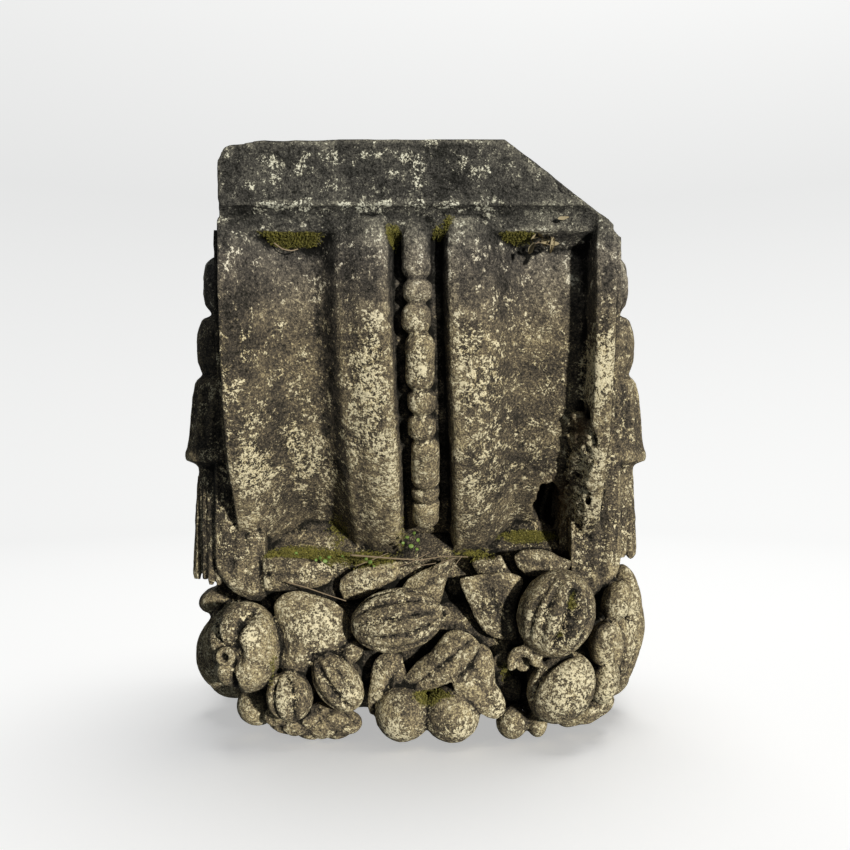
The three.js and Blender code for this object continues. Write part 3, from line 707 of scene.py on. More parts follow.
skirt, given = geometry_tree("hang_cords", [
    ("Cords", "NodeSocketInt", 34), ("Radius", "NodeSocketFloat", 0.044), ("Seed", "NodeSocketInt", 3)])
circle = node(skirt, "GeometryNodeMeshCircle", {"Vertices": given["Cords"], "Radius": given["Radius"]})
wobble = node(skirt, "FunctionNodeRandomValue", {"Min": (-0.05, -0.05, 0), "Max": (0.05, 0.05, 6.28),
                                                 "Seed": given["Seed"]}, data_type="FLOAT_VECTOR")
lengths = node(skirt, "FunctionNodeRandomValue", {2: 0.94, 3: 1.0, "Seed": given["Seed"]}, data_type="FLOAT")
hung = node(skirt, "GeometryNodeInstanceOnPoints", {
    "Points": circle.outputs[0],
    "Instance": given[0],
    "Rotation": node(skirt, "FunctionNodeEulerToRotation", {"Euler": wobble.outputs[0]}).outputs[0],
    "Scale": node(skirt, "ShaderNodeCombineXYZ", {"X": 1.0, "Y": 1.0, "Z": lengths.outputs[1]}).outputs[0],
})
close_tree(skirt, hung, given)

for side, x, foot, seed in TASSELS:
    one_cord = object_of(mesh_of(cord(SKIRT_TOP - foot), "cord"), "cord")
    points, faces = form_of(with_nodes(one_cord, skirt, Seed=seed, Material=limestone))
    forms.append((points + np.array([x, TASSEL_Y, SKIRT_TOP]), faces))
    print(side, "skirt:", len(points), "points")

# %% [markdown]
# ## Reeded tongues
#
# Beside the scroll's foot a tongue hangs on each side, cut into upright reeds and rounded at its lower
# outer corner. A grid of columns follows the outline, and each column's depth follows the reeds.

# %% Make the tongues
def tongue(sign):
    inner, outer, top, low, front = 172, 231, -12, -174, FRONT + 121
    width = outer - inner
    rings = []
    for s in np.linspace(0, 1, 60):
        x = inner + width * s
        bottom = low + width * 0.9 * (1 - math.sqrt(max(0.0, 1 - s**2.2)))
        bead_edge = 2.4 * math.exp(-((s - 0.93) / 0.05) ** 2)
        reed = 3.2 * abs(math.cos(math.pi * (4 * s + 0.1))) ** 0.7 - bead_edge
        edge = 12 * smooth_ramp(0.9, 1, s) ** 2
        column = []
        for t in np.linspace(0, 1, 40):
            z = top + (bottom - top) * t
            fade = smooth_ramp(1.0, 0.9, t)
            column.append((sign * x, front + 3.5 - reed * fade + edge + 9 * smooth_ramp(0.9, 1, t) ** 2, z))
        back = [(sign * x, front + 56, bottom + 1), (sign * x, front + 56, top)]
        rings.append(column + back)
    return loft(rings)


forms += [tongue(-1), tongue(1)]
print("tongues added, forms so far:", len(forms))

# %% [markdown]
# ## Fruit
#
# Each fruit is a ball with a skin of its own: lobes round a star-shaped eye for the medlar, ribs for the
# poppy head, a crease for the peach, a split with seeds for the pomegranate, scales for the cone. The
# places and tilts are the solid's. Behind each goes a root of stone, which ties it to the bed.

# %% Describe the skins
def from_front(angle):
    turn = angle + math.pi / 2
    return turn - 2 * math.pi * np.round(turn / (2 * math.pi))


def crease(angle, at, width):
    gap = angle - at
    gap = gap - 2 * math.pi * np.round(gap / (2 * math.pi))
    return np.exp(-((gap / width) ** 2))


def medlar_skin(angle, t):
    # seen along its axis: five lobes that part deeper towards the eye
    near = smooth_ramp(0.42, 0.8, t)
    wind = 0.5 * (1 - t)
    cuts = sum(deep * crease(angle + wind, math.radians(turn), wide) for turn, deep, wide in
               ((78, 0.26, 0.2), (-14, 0.1, 0.15), (-92, 0.3, 0.2), (-160, 0.3, 0.26), (148, 0.28, 0.2)))
    return 1 - near * cuts - 0.34 * smooth_ramp(0.94, 0.985, t)


def poppy_skin(angle, t):
    ends = smooth_ramp(0.03, 0.2, t) * smooth_ramp(1.0, 0.9, t)
    return 1 - 0.17 * np.exp(-((np.sin(angle * 5.5 + 0.5) / 0.4) ** 2)) * ends


def peach_skin(angle, t):
    return 1 - 0.16 * crease(from_front(angle), -0.42, 0.14) * smooth_ramp(0.0, 0.25, t)


def almond_skin(angle, t):
    side = from_front(angle)
    cuts = 0.3 * crease(side, 0.2, 0.13) + 0.2 * crease(side, -0.62, 0.12) + 0.12 * crease(side, 1.0, 0.1)
    return 1 - cuts - 0.16 * t * t


def shell_skin(angle, t):
    side = from_front(angle)
    cuts = 0.34 * crease(side, -0.35 + 0.5 * (t - 0.5), 0.15) + 0.26 * crease(side, 0.6 + 0.3 * t, 0.13)
    return 1 - cuts - 0.14 * t * t


def cone_skin(angle, t):
    # two sets of slanting grooves, crossing, leave the scales
    grooves = [np.exp(-((np.sin(t * 10 + turn * angle * 1.5) / 0.25) ** 2)) for turn in (1, -1)]
    return 1.06 - 0.27 * np.maximum(*grooves)


def split_skin(angle, t):
    side = from_front(angle)
    seam = 0.32 - 0.2 * t
    ends = smooth_ramp(0.08, 0.25, t) * smooth_ramp(0.95, 0.8, t)
    opening = 0.28 * crease(side, seam, 0.2) * ends
    seeds = 0.2 * crease(side, seam, 0.12) * ends * np.abs(np.sin(angle * 9)) * abs(math.sin(t * 22))
    lips = 0.06 * (crease(side, seam + 0.36, 0.1) + crease(side, seam - 0.34, 0.1)) * ends
    folds = ((seam - 0.62, 0.07), (seam + 0.6, 0.07), (-0.75, 0.06))
    ridges = sum(crease(side, at, wide) for at, wide in folds)
    return 1 - opening + seeds + lips - 0.1 * ridges * ends


def nut_skin(angle, t):
    return 1 - 0.06 * np.cos(2 * angle) * t - 0.09 * smooth_ramp(0.9, 1.0, t)


def pod_skin(angle, t):
    return 1 + 0.03 * math.sin(t * 16) - 0.12 * crease(from_front(angle), -0.5, 0.16)


print("skins described")

# %% Place the fruit
FRUIT = [
    # name, place, radii, skin, pose
    ("medlar", (-189, -306, -217), (41, 50, 38), medlar_skin, dict(nod=92, face=-15)),
    ("poppy_head", (-22, -328, -183), (34, 32, 50), poppy_skin, dict(lean=80)),
    ("twin_left", (-16, -306, -288), (31, 32, 31), None, dict(nod=12)),
    ("twin_right", (37, -306, -289), (31, 32, 31), None, dict(nod=12)),
    ("almond", (-85, -316, -255), (25, 25, 39), almond_skin, dict(lean=143)),
    ("stub", (-71, -308, -222), (11, 12, 15), nut_skin, dict(lean=40)),
    ("shell", (-138, -316, -270), (26, 26, 29), shell_skin, dict(lean=165)),
    ("cone", (-116, -290, -301), (20, 22, 52), cone_skin, dict(lean=95)),
    ("pomegranate", (149, -326, -176), (41, 38, 48), split_skin, dict(lean=22)),
    ("peach", (155, -320, -257), (34, 34, 41), peach_skin, dict(lean=38, spin=-35)),
    ("nut_a", (104, -292, -302), (18, 20, 19), nut_skin, {}),
    ("nut_b", (132, -292, -303), (12, 18, 16), nut_skin, {}),
    ("nut_c", (206, -292, -215), (17, 20, 26), nut_skin, dict(lean=10)),
    ("nut_d", (207, -290, -257), (17, 20, 27), nut_skin, dict(lean=15)),
    ("nut_e", (223, -276, -171), (17, 22, 25), nut_skin, dict(lean=15)),
    ("long_nut", (190, -260, -297), (16, 22, 36), pod_skin, dict(lean=68)),
    ("corner_nut", (-183, -256, -293), (24, 28, 24), None, {}),
    ("side_tip", (-243, -190, -184), (22, 34, 15), None, dict(lean=-20)),
    ("side_fruit", (-236, -182, -250), (30, 34, 46), peach_skin, dict(face=-80)),
]


def stone_root(at, girth):
    at = np.asarray(at, float)
    tip = np.array([at[0] * 0.88, -203.0, BED_MIDDLE + (at[2] - BED_MIDDLE) * 0.6])
    along = (at - tip) / np.linalg.norm(at - tip)
    side = np.cross(along, (0, 0, 1))
    side /= np.linalg.norm(side)
    up = np.cross(side, along)
    rings = []
    for place, radius in ((tip, girth), (at, girth * 0.72)):
        rings.append([place + radius * (math.cos(a) * side + math.sin(a) * up) for a in angles(12)])
    return loft(rings)


for _, at, radii, skin, pose in FRUIT:
    forms.append(ball(at, radii, skin, around=96, along=64, **pose))
    forms.append(stone_root(at, min(radii)))
forms.append(ball((250, -206, -216), (19, 22, 76), pod_skin, bend=-12, lean=4, around=80, along=90))
print("fruit on the front:", ", ".join(row[0] for row in FRUIT), "and a pod at the right")

# %% Add the eyes, the hook and the fruit along the sides
def ring_of_stone(at, radius, tube, turns=1.0, start=0.0, **pose):
    # a tube bent round, which grows thinner on its way where it is not a whole ring
    rings = []
    steps_round = 40
    b = angles(14)
    for k in range(steps_round + 1):
        a = start + turns * 2 * math.pi * k / steps_round
        swell = tube * (1 if turns >= 1 else 1.15 - 0.35 * k / steps_round)
        spread = radius + swell * np.cos(b)
        ring = np.column_stack([spread * math.cos(a), spread * math.sin(a), swell * np.sin(b)])
        rings.append(placed(ring, at, **pose))
    return loft(rings)


forms.append(ring_of_stone((-203, -342, -219), 7.5, 3.6, nod=92, face=-15))
forms.append(ring_of_stone((28, -330, -176), 6.0, 3.0, nod=70, face=25))
forms.append(ring_of_stone((114, -328, -229), 13, 6.5, turns=0.62, start=-0.25, nod=90))
forms.append(stone_root((114, -320, -232), 12))

SIDE_FRUIT = [
    # depth behind the foot's front, how proud, height, radii, skin
    (52, 0, -232, (36, 44, 50), poppy_skin), (112, 16, -228, (32, 34, 42), peach_skin),
    (96, 12, -280, (30, 34, 28), nut_skin), (164, 20, -236, (28, 30, 36), split_skin),
    (150, 16, -284, (24, 30, 22), almond_skin), (206, 24, -250, (22, 26, 30), peach_skin),
    (200, 18, -288, (18, 24, 16), nut_skin),
]
for sign in (-1, 1):
    for deep, proud, z, radii, skin in SIDE_FRUIT:
        at = (sign * (BODY_HALF + proud), FOOT_FRONT + deep, z)
        forms.append(ball(at, radii, skin, around=72, along=48, face=sign * 90))
print("forms so far:", len(forms))

# %% [markdown]
# ## Leaves
#
# A carved leaf is a slab with an outline, a domed face, a midrib and a few side veins. The outlines are
# the solid's. Each is rounded through its corners, then filled with rings that shrink to the middle,
# and the face is raised ring by ring with the veins cut a millimetre or two deep.

# %% Describe the leaf faces
LEAVES = [
    # name, how proud, dome, slopes, direction of the midrib in degrees, vein depth, outline
    ("ledge", 12, 10, (0, 0), 0, 1.6,
     [(-174, -122), (-154, -120), (-130, -123), (-108, -126), (-92, -137), (-97, -150), (-112, -156),
      (-134, -158), (-156, -160), (-172, -161)]),
    ("tucked", 15, 10, (0, 0), 25, 1.4,
     [(-87, -145), (-73, -136), (-52, -130), (-22, -125), (-18, -136), (-24, -147), (-38, -154),
      (-53, -164), (-71, -170), (-82, -171), (-88, -158)]),
    ("middle", 15, 10, (0, 0), 38, 1.4,
     [(-21, -159), (-11, -145), (5, -136), (25, -127), (39, -120), (40, -131), (33, -145), (28, -160),
      (25, -174), (9, -176), (-6, -169)]),
    ("domed", 38, 20, (0, 0), -70, 0.0,
     [(-158, -168), (-147, -157), (-131, -154), (-109, -160), (-91, -166), (-79, -176), (-71, -191),
      (-72, -208), (-82, -222), (-96, -230), (-110, -234), (-120, -246), (-131, -252), (-145, -248),
      (-153, -233), (-149, -215), (-151, -196), (-157, -181)]),
    ("lower", 34, 10, (0, 0), 60, 2.0,
     [(-50, -234), (-39, -223), (-17, -224), (-15, -239), (-6, -252), (1, -264), (-15, -272), (-26, -275),
      (-37, -284), (-48, -294), (-54, -291), (-56, -273), (-52, -253)]),
    ("folded", 46, 12, (-0.25, 0.1), 40, 2.2,
     [(-17, -266), (-15, -249), (-5, -234), (11, -223), (24, -208), (31, -198), (42, -195), (57, -199),
      (69, -210), (61, -224), (49, -240), (37, -252), (22, -259), (3, -265)]),
    ("drooping", 44, 12, (0.3, 0.1), -62, 1.2,
     [(67, -209), (79, -216), (84, -229), (85, -255), (94, -269), (98, -280), (94, -292), (85, -295),
      (70, -288), (55, -276), (43, -266), (36, -253), (48, -239), (59, -224)]),
    ("half_round", 32, 8, (0, 0), -70, 0.8,
     [(44, -142), (68, -138), (96, -135), (116, -140), (118, -147), (111, -162), (107, -175), (108, -193),
      (111, -210), (96, -211), (82, -208), (71, -200), (63, -187), (56, -171), (49, -155)]),
    ("right", 18, 10, (0, 0), -8, 1.0,
     [(105, -120), (115, -113), (131, -111), (147, -114), (160, -121), (173, -126), (169, -136),
      (154, -141), (136, -143), (120, -143), (110, -133)]),
    ("back", 8, 10, (0, 0), -60, 1.0,
     [(88, -247), (99, -244), (108, -253), (116, -263), (115, -279), (111, -290), (101, -286), (92, -274),
      (87, -260)]),
    ("stalk", 18, 10, (0, 0), 0, 0.6,
     [(58, -126), (69, -120), (83, -122), (93, -117), (99, -131), (106, -140), (89, -143), (67, -143)]),
]


def rounded(outline, count=110):
    # even steps round the outline, with the corners eased
    corners = np.asarray(outline, float)
    loop = np.vstack([corners, corners[:1]])
    length = np.concatenate([[0], np.cumsum(np.linalg.norm(np.diff(loop, axis=0), axis=1))])
    steps_round = np.linspace(0, length[-1], count, endpoint=False)
    ring = np.column_stack([np.interp(steps_round, length, loop[:, k]) for k in (0, 1)])
    for _ in range(6):
        ring = 0.5 * ring + 0.25 * (np.roll(ring, 1, axis=0) + np.roll(ring, -1, axis=0))
    return ring


def front_leaf(proud, dome, slopes, midrib, veins, outline):
    ring = rounded(outline)
    middle = ring.mean(axis=0)
    away = math.radians(midrib)
    along = np.array([math.cos(away), math.sin(away)])
    across = np.array([-along[1], along[0]])
    edge_y = FOOT_FRONT - proud
    rings = []
    for scale, y in ((0.6, FOOT_FRONT + 25), (0.85, edge_y + 12), (0.97, edge_y + 4)):
        flat = middle + (ring - middle) * scale
        rings.append(np.column_stack([flat[:, 0], np.full(len(flat), float(y)), flat[:, 1]]))
    for s in np.linspace(1, 0.04, 26):
        flat = (ring - middle) * s
        raised = dome * (1 - s**2.2) ** 0.8
        a, b = flat @ along, flat @ across
        rib = veins * 2.0 * np.exp(-((b / 2.8) ** 2))
        side_veins = veins * 1.1 * np.maximum(0, np.cos((a + np.abs(b) * 0.8) * 2 * math.pi / 13)) ** 4
        raised = raised - (rib + side_veins * np.minimum(1, np.abs(b) / 5)) * min(1, (1 - s) * 6)
        y = edge_y - raised + slopes[0] * flat[:, 0] + slopes[1] * flat[:, 1]
        rings.append(np.column_stack([middle[0] + flat[:, 0], y, middle[1] + flat[:, 1]]))
    return loft(rings)


for _, *shape in LEAVES:
    forms.append(front_leaf(*shape))
print("leaves on the front:", ", ".join(row[0] for row in LEAVES))

# %% Add the leaves along the sides
def side_leaf(sign, deep, proud, z, width, length, lean):
    rows, cols = 40, 24
    rings = []
    for k in range(rows):
        t = 0.01 + 0.98 * k / (rows - 1)
        wide = max(0.18, math.sin(math.pi * (0.16 + 0.84 * t**0.9))) ** 0.6
        across = np.concatenate([np.linspace(-1, 1, cols), np.linspace(0.96, -0.96, cols)])
        bow = 9 * (1 - across**2) * wide - 6 * (2 * t - 1) ** 2
        face = np.concatenate([np.full(cols, -12.0), np.full(cols, 12.0)])
        vein = 1.5 * np.exp(-((across / 0.1) ** 2)) + np.maximum(0, np.cos(t * 40 + np.abs(across) * 9)) ** 5
        y = face - bow + np.where(face < 0, vein, 0)
        ring = np.column_stack([across * width / 2 * wide, y, np.full(2 * cols, (t - 0.5) * length)])
        at = (sign * (BODY_HALF + proud), FOOT_FRONT + deep, z)
        rings.append(placed(ring, at, lean=sign * lean, face=sign * 90))
    return loft(rings)


SIDE_LEAVES = [
    # depth behind the foot's front, how proud, height, width, length, lean
    (78, 18, -190, 52, 78, 30), (140, 26, -186, 48, 74, -20), (188, 28, -198, 42, 66, 40),
    (232, 34, -236, 36, 70, 95),
]
for sign in (-1, 1):
    for leaf in SIDE_LEAVES:
        forms.append(side_leaf(sign, *leaf))
print("all forms:", len(forms), "with", sum(len(points) for points, _ in forms), "points")

# %% [markdown]
# ## Fuse the forms into one stone
#
# A voxel remesh keeps only the outer skin of everything that overlaps, as if it had all been carved from
# one block. Its voxels are 1.9 mm, fine enough for the veins. A few rounds of smoothing take off the
# steps of the grid and ease every arris by a millimetre or two, which is what rain has done.

# %% Remesh and smooth
VOXEL = 1.9
rough_block = object_of(fused(forms, "rough_block"), "rough_block")
remesh = rough_block.modifiers.new("remesh", "REMESH")
remesh.mode = "VOXEL"
remesh.voxel_size = VOXEL * MM
remesh.adaptivity = 0
ease = rough_block.modifiers.new("ease", "SMOOTH")
ease.factor = 0.5
ease.iterations = 2
block_mesh = finished(rough_block)
print("fused block:", len(block_mesh.vertices), "points")

# %% [markdown]
# ## Weather the surface
#
# Old limestone is never flat. Geometry Nodes push each point along its normal by noise of three sizes:
# slow waves of 60 mm, dents of 14 mm, and sharp pits of 6 mm that only take away. Near the wall and the
# top bed the push fades, because those faces were dressed flat and are bedded in mortar. A long sum is
# written as a recipe: a list of steps, each with a name, the node it needs and its inputs.

# %% Follow a recipe of steps
PLUS = ("ShaderNodeMath", {"operation": "ADD"})
MINUS = ("ShaderNodeMath", {"operation": "SUBTRACT"})
TIMES = ("ShaderNodeMath", {"operation": "MULTIPLY"})
ADD_SHARE = ("ShaderNodeMath", {"operation": "MULTIPLY_ADD"})
RAMP = ("ShaderNodeMapRange", {"interpolation_type": "SMOOTHSTEP"})


def follow(tree, parts, recipe):
    # each step has a name, the node it needs, and its inputs as numbers or as names of earlier steps
    for title, (kind, settings), *inputs in recipe:
        values = {place: parts.get(given, given) for place, given in enumerate(inputs)}
        parts[title] = node(tree, kind, values, **settings).outputs[0]


print("recipe helper ready")

# %% Build the weathering tree
weather, given = geometry_tree("weather", [
    ("Waves", "NodeSocketFloat", 0.0020), ("Dents", "NodeSocketFloat", 0.0024),
    ("Pits", "NodeSocketFloat", 0.0010)])
spot = node(weather, "GeometryNodeInputPosition").outputs[0]
apart = node(weather, "ShaderNodeSeparateXYZ", {0: spot}).outputs
parts = {"depth": apart[1], "height": apart[2]}
parts |= {title: given[title] for title in ("Waves", "Dents", "Pits")}
for title, size, detail, rough in (("wave", 60, 2, 0.5), ("dent", 14, 3, 0.5), ("patches", 34, 3, 0.5),
                                   ("pit", 6.5, 4, 0.65)):
    # a noise whose bumps are about this many millimetres across
    settings = {"Vector": spot, "Scale": 1 / (size * MM), "Detail": detail, "Roughness": rough}
    parts[title] = node(weather, "ShaderNodeTexNoise", settings).outputs[0]
follow(weather, parts, [
    ("wave", MINUS, "wave", 0.5),
    ("wave", TIMES, "wave", "Waves"),
    ("dent", MINUS, "dent", 0.5),
    ("dent", TIMES, "dent", "Dents"),
    ("patches", RAMP, "patches", 0.45, 0.62, 0.12, 1.0),
    ("pit", RAMP, "pit", 0.54, 0.72, 0.0, 1.0),
    ("pit", TIMES, "pit", "patches"),
    ("pit", TIMES, "pit", "Pits"),
    ("push", PLUS, "wave", "dent"),
    ("push", MINUS, "push", "pit"),
    ("wall", RAMP, "depth", -0.001, -0.012, 0.0, 1.0),
    ("sheltered", RAMP, "depth", -0.08, -0.24, 0.35, 1.0),
    ("wall", TIMES, "wall", "sheltered"),
    ("bed", RAMP, "height", 0.3085, 0.300, 0.15, 1.0),
    ("push", TIMES, "push", "wall"),
    ("push", TIMES, "push", "bed"),
])
outwards = node(weather, "GeometryNodeInputNormal").outputs[0]
offset = node(weather, "ShaderNodeVectorMath", {0: outwards, 3: parts["push"]}, operation="SCALE").outputs[0]
moved = node(weather, "GeometryNodeSetPosition", {"Geometry": given[0], "Offset": offset})
close_tree(weather, moved, given)
block_mesh = with_nodes(object_of(block_mesh, "block"), weather, Material=limestone)
print("weathered:", len(block_mesh.vertices), "points")

# %% Cut the wall face flat and thin the mesh
def flattened(mesh):
    points = np.minimum(points_of(mesh), (np.inf, 0, TOP_Z))
    mesh.vertices.foreach_set("co", points.ravel() * MM)
    mesh.update()
    return mesh


TRIANGLES = 192000
block = object_of(flattened(block_mesh), "block")
thin = block.modifiers.new("thin", "DECIMATE")
thin.ratio = min(1.0, TRIANGLES / (2 * len(block_mesh.polygons)))
stone_mesh = finished(block)
stone_mesh.name = "bracket_stone_carved"
print("stone:", sum(len(face.vertices) - 2 for face in stone_mesh.polygons), "triangles")

# %% [markdown]
# ## Where dirt, painted shade, moss and lichen settle
#
# Dirt, and painted shade with it, goes where the sky hardly reaches, and lichen grows where it does. So each
# point of the stone gets a value for how open it is: rays go out from it over the half sphere, and the share
# that gets away is kept. Another says how deep it lies in a groove or how sharp an arris it is on. Soft
# patches say where moss grows, on the ledge, at the heads of the channels and between the fruit, where
# lichen has grown together, and where the dark crust is thick or shade is painted on faces turned from the
# key light. A last one marks the broken, earth-stained stone.

# %% Measure how open each point is
def fan_of_rays(count):
    rays = []
    for k in range(count):
        flat = math.sqrt((k + 0.5) / count)
        turn = k * 2.399963
        rays.append((flat * math.cos(turn), flat * math.sin(turn), math.sqrt(1 - flat * flat)))
    return rays


def openness(mesh, reach, rays=12):
    tree = BVHTree.FromPolygons([v.co for v in mesh.vertices], [f.vertices[:] for f in mesh.polygons])
    fan = fan_of_rays(rays)
    share = np.empty(len(mesh.vertices))
    for index, vertex in enumerate(mesh.vertices):
        normal = vertex.normal
        side = normal.orthogonal().normalized()
        up = normal.cross(side)
        start = vertex.co + normal * 0.0006
        ways = (side * a + up * b + normal * c for a, b, c in fan)
        share[index] = sum(tree.ray_cast(start, way, reach)[0] is None for way in ways) / rays
    return share


def eased(mesh, values, rounds=2):
    edges = np.empty(2 * len(mesh.edges), int)
    mesh.edges.foreach_get("vertices", edges)
    a, b = edges.reshape(-1, 2).T
    near = np.bincount(a, minlength=len(values)) + np.bincount(b, minlength=len(values))
    for _ in range(rounds):
        total = np.bincount(a, values[b], len(values)) + np.bincount(b, values[a], len(values))
        values = 0.5 * values + 0.5 * total / np.maximum(near, 1)
    return values


def hollowness(mesh, rounds):
    # how far a point lies below its neighbourhood, in millimetres; on an arris it comes out negative
    points = points_of(mesh)
    normals = np.array([v.normal for v in mesh.vertices])
    around = np.column_stack([eased(mesh, points[:, k], rounds) for k in range(3)])
    return ((around - points) * normals).sum(axis=1)


wide_open = eased(stone_mesh, openness(stone_mesh, 0.05))
hollow = eased(stone_mesh, hollowness(stone_mesh, 12), 1)
print("hollows: deepest", round(hollow.max(), 2), "mm, sharpest arris", round(hollow.min(), 2), "mm")
print("openness: lowest", round(wide_open.min(), 2), "mean", round(wide_open.mean(), 2))

# %% Mark the moss
places = points_of(stone_mesh)


def patch_marks(patches):
    # how strong each patch is at each point of the stone
    marks = []
    for x, z, half_x, half_z, amount in patches:
        gap = ((places[:, 0] - x) / half_x) ** 2 + ((places[:, 2] - z) / half_z) ** 2
        marks.append(amount * np.exp(-(gap**1.5)))
    return np.array(marks)


MOSS = [
    # x, z, half width, half height, amount
    (-158, 227, 16, 7, 0.8), (-136, 219, 20, 10, 1.1), (-114, 219, 16, 10, 1.1), (-99, 226, 9, 8, 0.9),
    (-24, 221, 8, 14, 0.9), (22, 226, 8, 12, 0.9), (29, 229, 10, 9, 0.8), (103, 220, 20, 9, 0.8),
    (-136, -124, 42, 10, 0.9), (-60, -128, 40, 10, 0.7), (128, -104, 38, 8, 0.85), (60, -122, 30, 8, 0.5),
    (-157, -225, 4, 44, 0.5), (14, -268, 26, 8, 1.0), (164, -158, 12, 16, 0.55), (150, -196, 7, 12, 0.5),
    (52, -262, 10, 8, 0.6), (-104, -126, 30, 8, 0.9), (98, -250, 8, 14, 0.5), (-92, -100, 16, 34, 0.45),
    (-20, -100, 9, 40, 0.35), (-88, 40, 8, 80, 0.15),
]
moss = patch_marks(MOSS).max(axis=0) * (places[:, 1] < -200) * smooth_ramp(1.0, 0.75, wide_open)
print("points with moss:", int((moss > 0.3).sum()))

# %% Mark the lichen and the crust
LICHEN = [
    # x, z, half width, half height, amount: where big patches have grown together
    (186, 82, 15, 36, 1.3), (-178, -23, 18, 32, 1.1), (-50, 66, 20, 62, 0.8), (-45, 130, 13, 13, 0.8),
    (60, 84, 26, 50, 0.7), (-4, 84, 15, 30, 0.8), (-4, 120, 12, 14, 0.6), (-112, -190, 28, 24, 0.8),
    (-179, -200, 14, 24, 0.9), (-215, -190, 16, 14, 0.6), (171, -241, 18, 22, 1.0),
    (212, -271, 13, 22, 1.2), (226, -181, 11, 14, 0.9), (90, -276, 13, 24, 1.0), (46, -298, 26, 13, 0.8),
    (-24, -300, 24, 12, 0.6), (193, -69, 13, 17, 1.0), (182, -20, 16, 40, 0.8), (177, -72, 12, 30, 0.9),
    (-171, -139, 5, 20, 1.0), (-136, 243, 32, 4, 0.8), (-60, 243, 44, 4, 0.7), (40, 243, 60, 4, 0.6),
    (-135, 288, 24, 10, 0.5), (-8, 280, 14, 26, 0.5), (56, 285, 18, 18, 0.4), (-122, -10, 26, 46, 0.5),
    (-30, -10, 16, 50, 0.55), (66, -30, 20, 60, 0.45), (-195, 60, 16, 24, 0.4), (-195, 0, 12, 30, 0.5),
    (-4, -14, 14, 40, 0.5), (-145, -262, 14, 20, 0.6), (-75, -262, 16, 18, 0.6), (-46, -262, 8, 28, 0.6),
    (28, -222, 14, 14, 0.5), (150, -190, 30, 20, 0.5), (202, -248, 14, 50, 0.9), (160, -252, 30, 32, 0.7),
    (200, -30, 10, 40, 0.4), (252, -205, 10, 40, 0.6), (-96, -135, 30, 10, 0.5), (-48, -150, 30, 12, 0.5),
]
CRUST_AND_SHADE = [
    # x, z, half width, half height, amount: where the dark crust is thick, or with a minus where it is thin;
    # the patches at the far left and on the left roll's flank are painted shade on faces turned from the key
    # light
    (78, -172, 36, 36, 0.9), (151, -176, 40, 46, 0.7), (133, -124, 34, 14, 0.8), (188, -104, 22, 42, 0.6),
    (-135, -226, 20, 20, 0.6), (-162, -188, 10, 24, 0.4), (-194, 130, 26, 130, 1.3),
    (-58, 196, 36, 48, 0.5), (50, 196, 36, 48, 0.5), (188, 160, 20, 72, 0.8), (-18, -186, 54, 34, 0.5),
    (222, 40, 20, 170, 0.5), (-190, -180, 22, 14, 0.4), (-20, -262, 14, 16, 0.3), (0, 238, 200, 7, -0.5),
    (204, -150, 12, 40, 0.5), (-91, 120, 9, 120, 1.1), (-84, -30, 9, 80, 0.9), (-215, -60, 16, 80, 0.5),
    (-112, 150, 26, 70, -0.4), (128, 160, 34, 66, -0.6), (120, -20, 34, 80, 0.5), (66, -60, 30, 50, 0.5),
    (-236, 40, 22, 200, 0.8), (-150, 60, 10, 60, 0.6),
]
on_front = places[:, 1] < -150
lichen = patch_marks(LICHEN).max(axis=0) * on_front
# the crust mark holds the dark crust, and painted shade at the far left and on the left roll's flank
crust = patch_marks(CRUST_AND_SHADE).sum(axis=0) * on_front
print("points with grown-together lichen:", int((lichen > 0.5).sum()))

# %% Mark the broken stone and keep the marks
broken = np.zeros(len(places))
for at, radii in (((158, -262, -66), (22, 40, 42)), ((172, -345, 20), (8, 30, 20))):
    gap = (((places - np.array(at)) / np.array(radii)) ** 2).sum(axis=1)
    broken = np.maximum(broken, np.exp(-(gap**2)))
MARKS = {"open": wide_open, "moss": moss, "broken": broken, "lichen": lichen, "hollow": hollow,
         "crust": crust}
for title, values in MARKS.items():
    stone_mesh.attributes.new(title, "FLOAT", "POINT").data.foreach_set("value", values)
stone_mesh.shade_smooth()
print("points on broken stone:", int((broken > 0.3).sum()))

# %% [markdown]
# ## Weathered limestone
#
# The stone is a soft warm-grey limestone, cut with chisels and left outside for a century or more. Rain
# and soot gave the upper part a dark crust, and lichen grows on it in cream discs and crumbs. It has no
# gloss at all. The colours are layered as they grew: stone, crust, grime in the hollows, lichen, moss;
# painted shade is laid with the crust at the far left and on the left roll's flank, and with the grime in
# the hollows and grooves.

# %% Name the colours
def linear(hex_colour):
    parts = [int(hex_colour[i:i + 2], 16) / 255 for i in (1, 3, 5)]
    return tuple(c / 12.92 if c <= 0.04045 else ((c + 0.055) / 1.055) ** 2.4 for c in parts) + (1.0,)


WEATHERED = [
    # place on the ramp, colour: from black crust and painted shade over grey-brown stone to lichen in full
    # growth
    (0.0, "#12110c"), (0.16, "#2a2820"), (0.34, "#46413a"), (0.5, "#645b4b"), (0.64, "#877b62"),
    (0.78, "#b3a47f"), (0.9, "#dacb9c"), (1.0, "#f4e9c4"),
]
MOSS_DARK = linear("#34371a")
MOSS_LIGHT = linear("#a59d48")
EARTH = linear("#5a4327")
print("colours on the ramp:", len(WEATHERED))

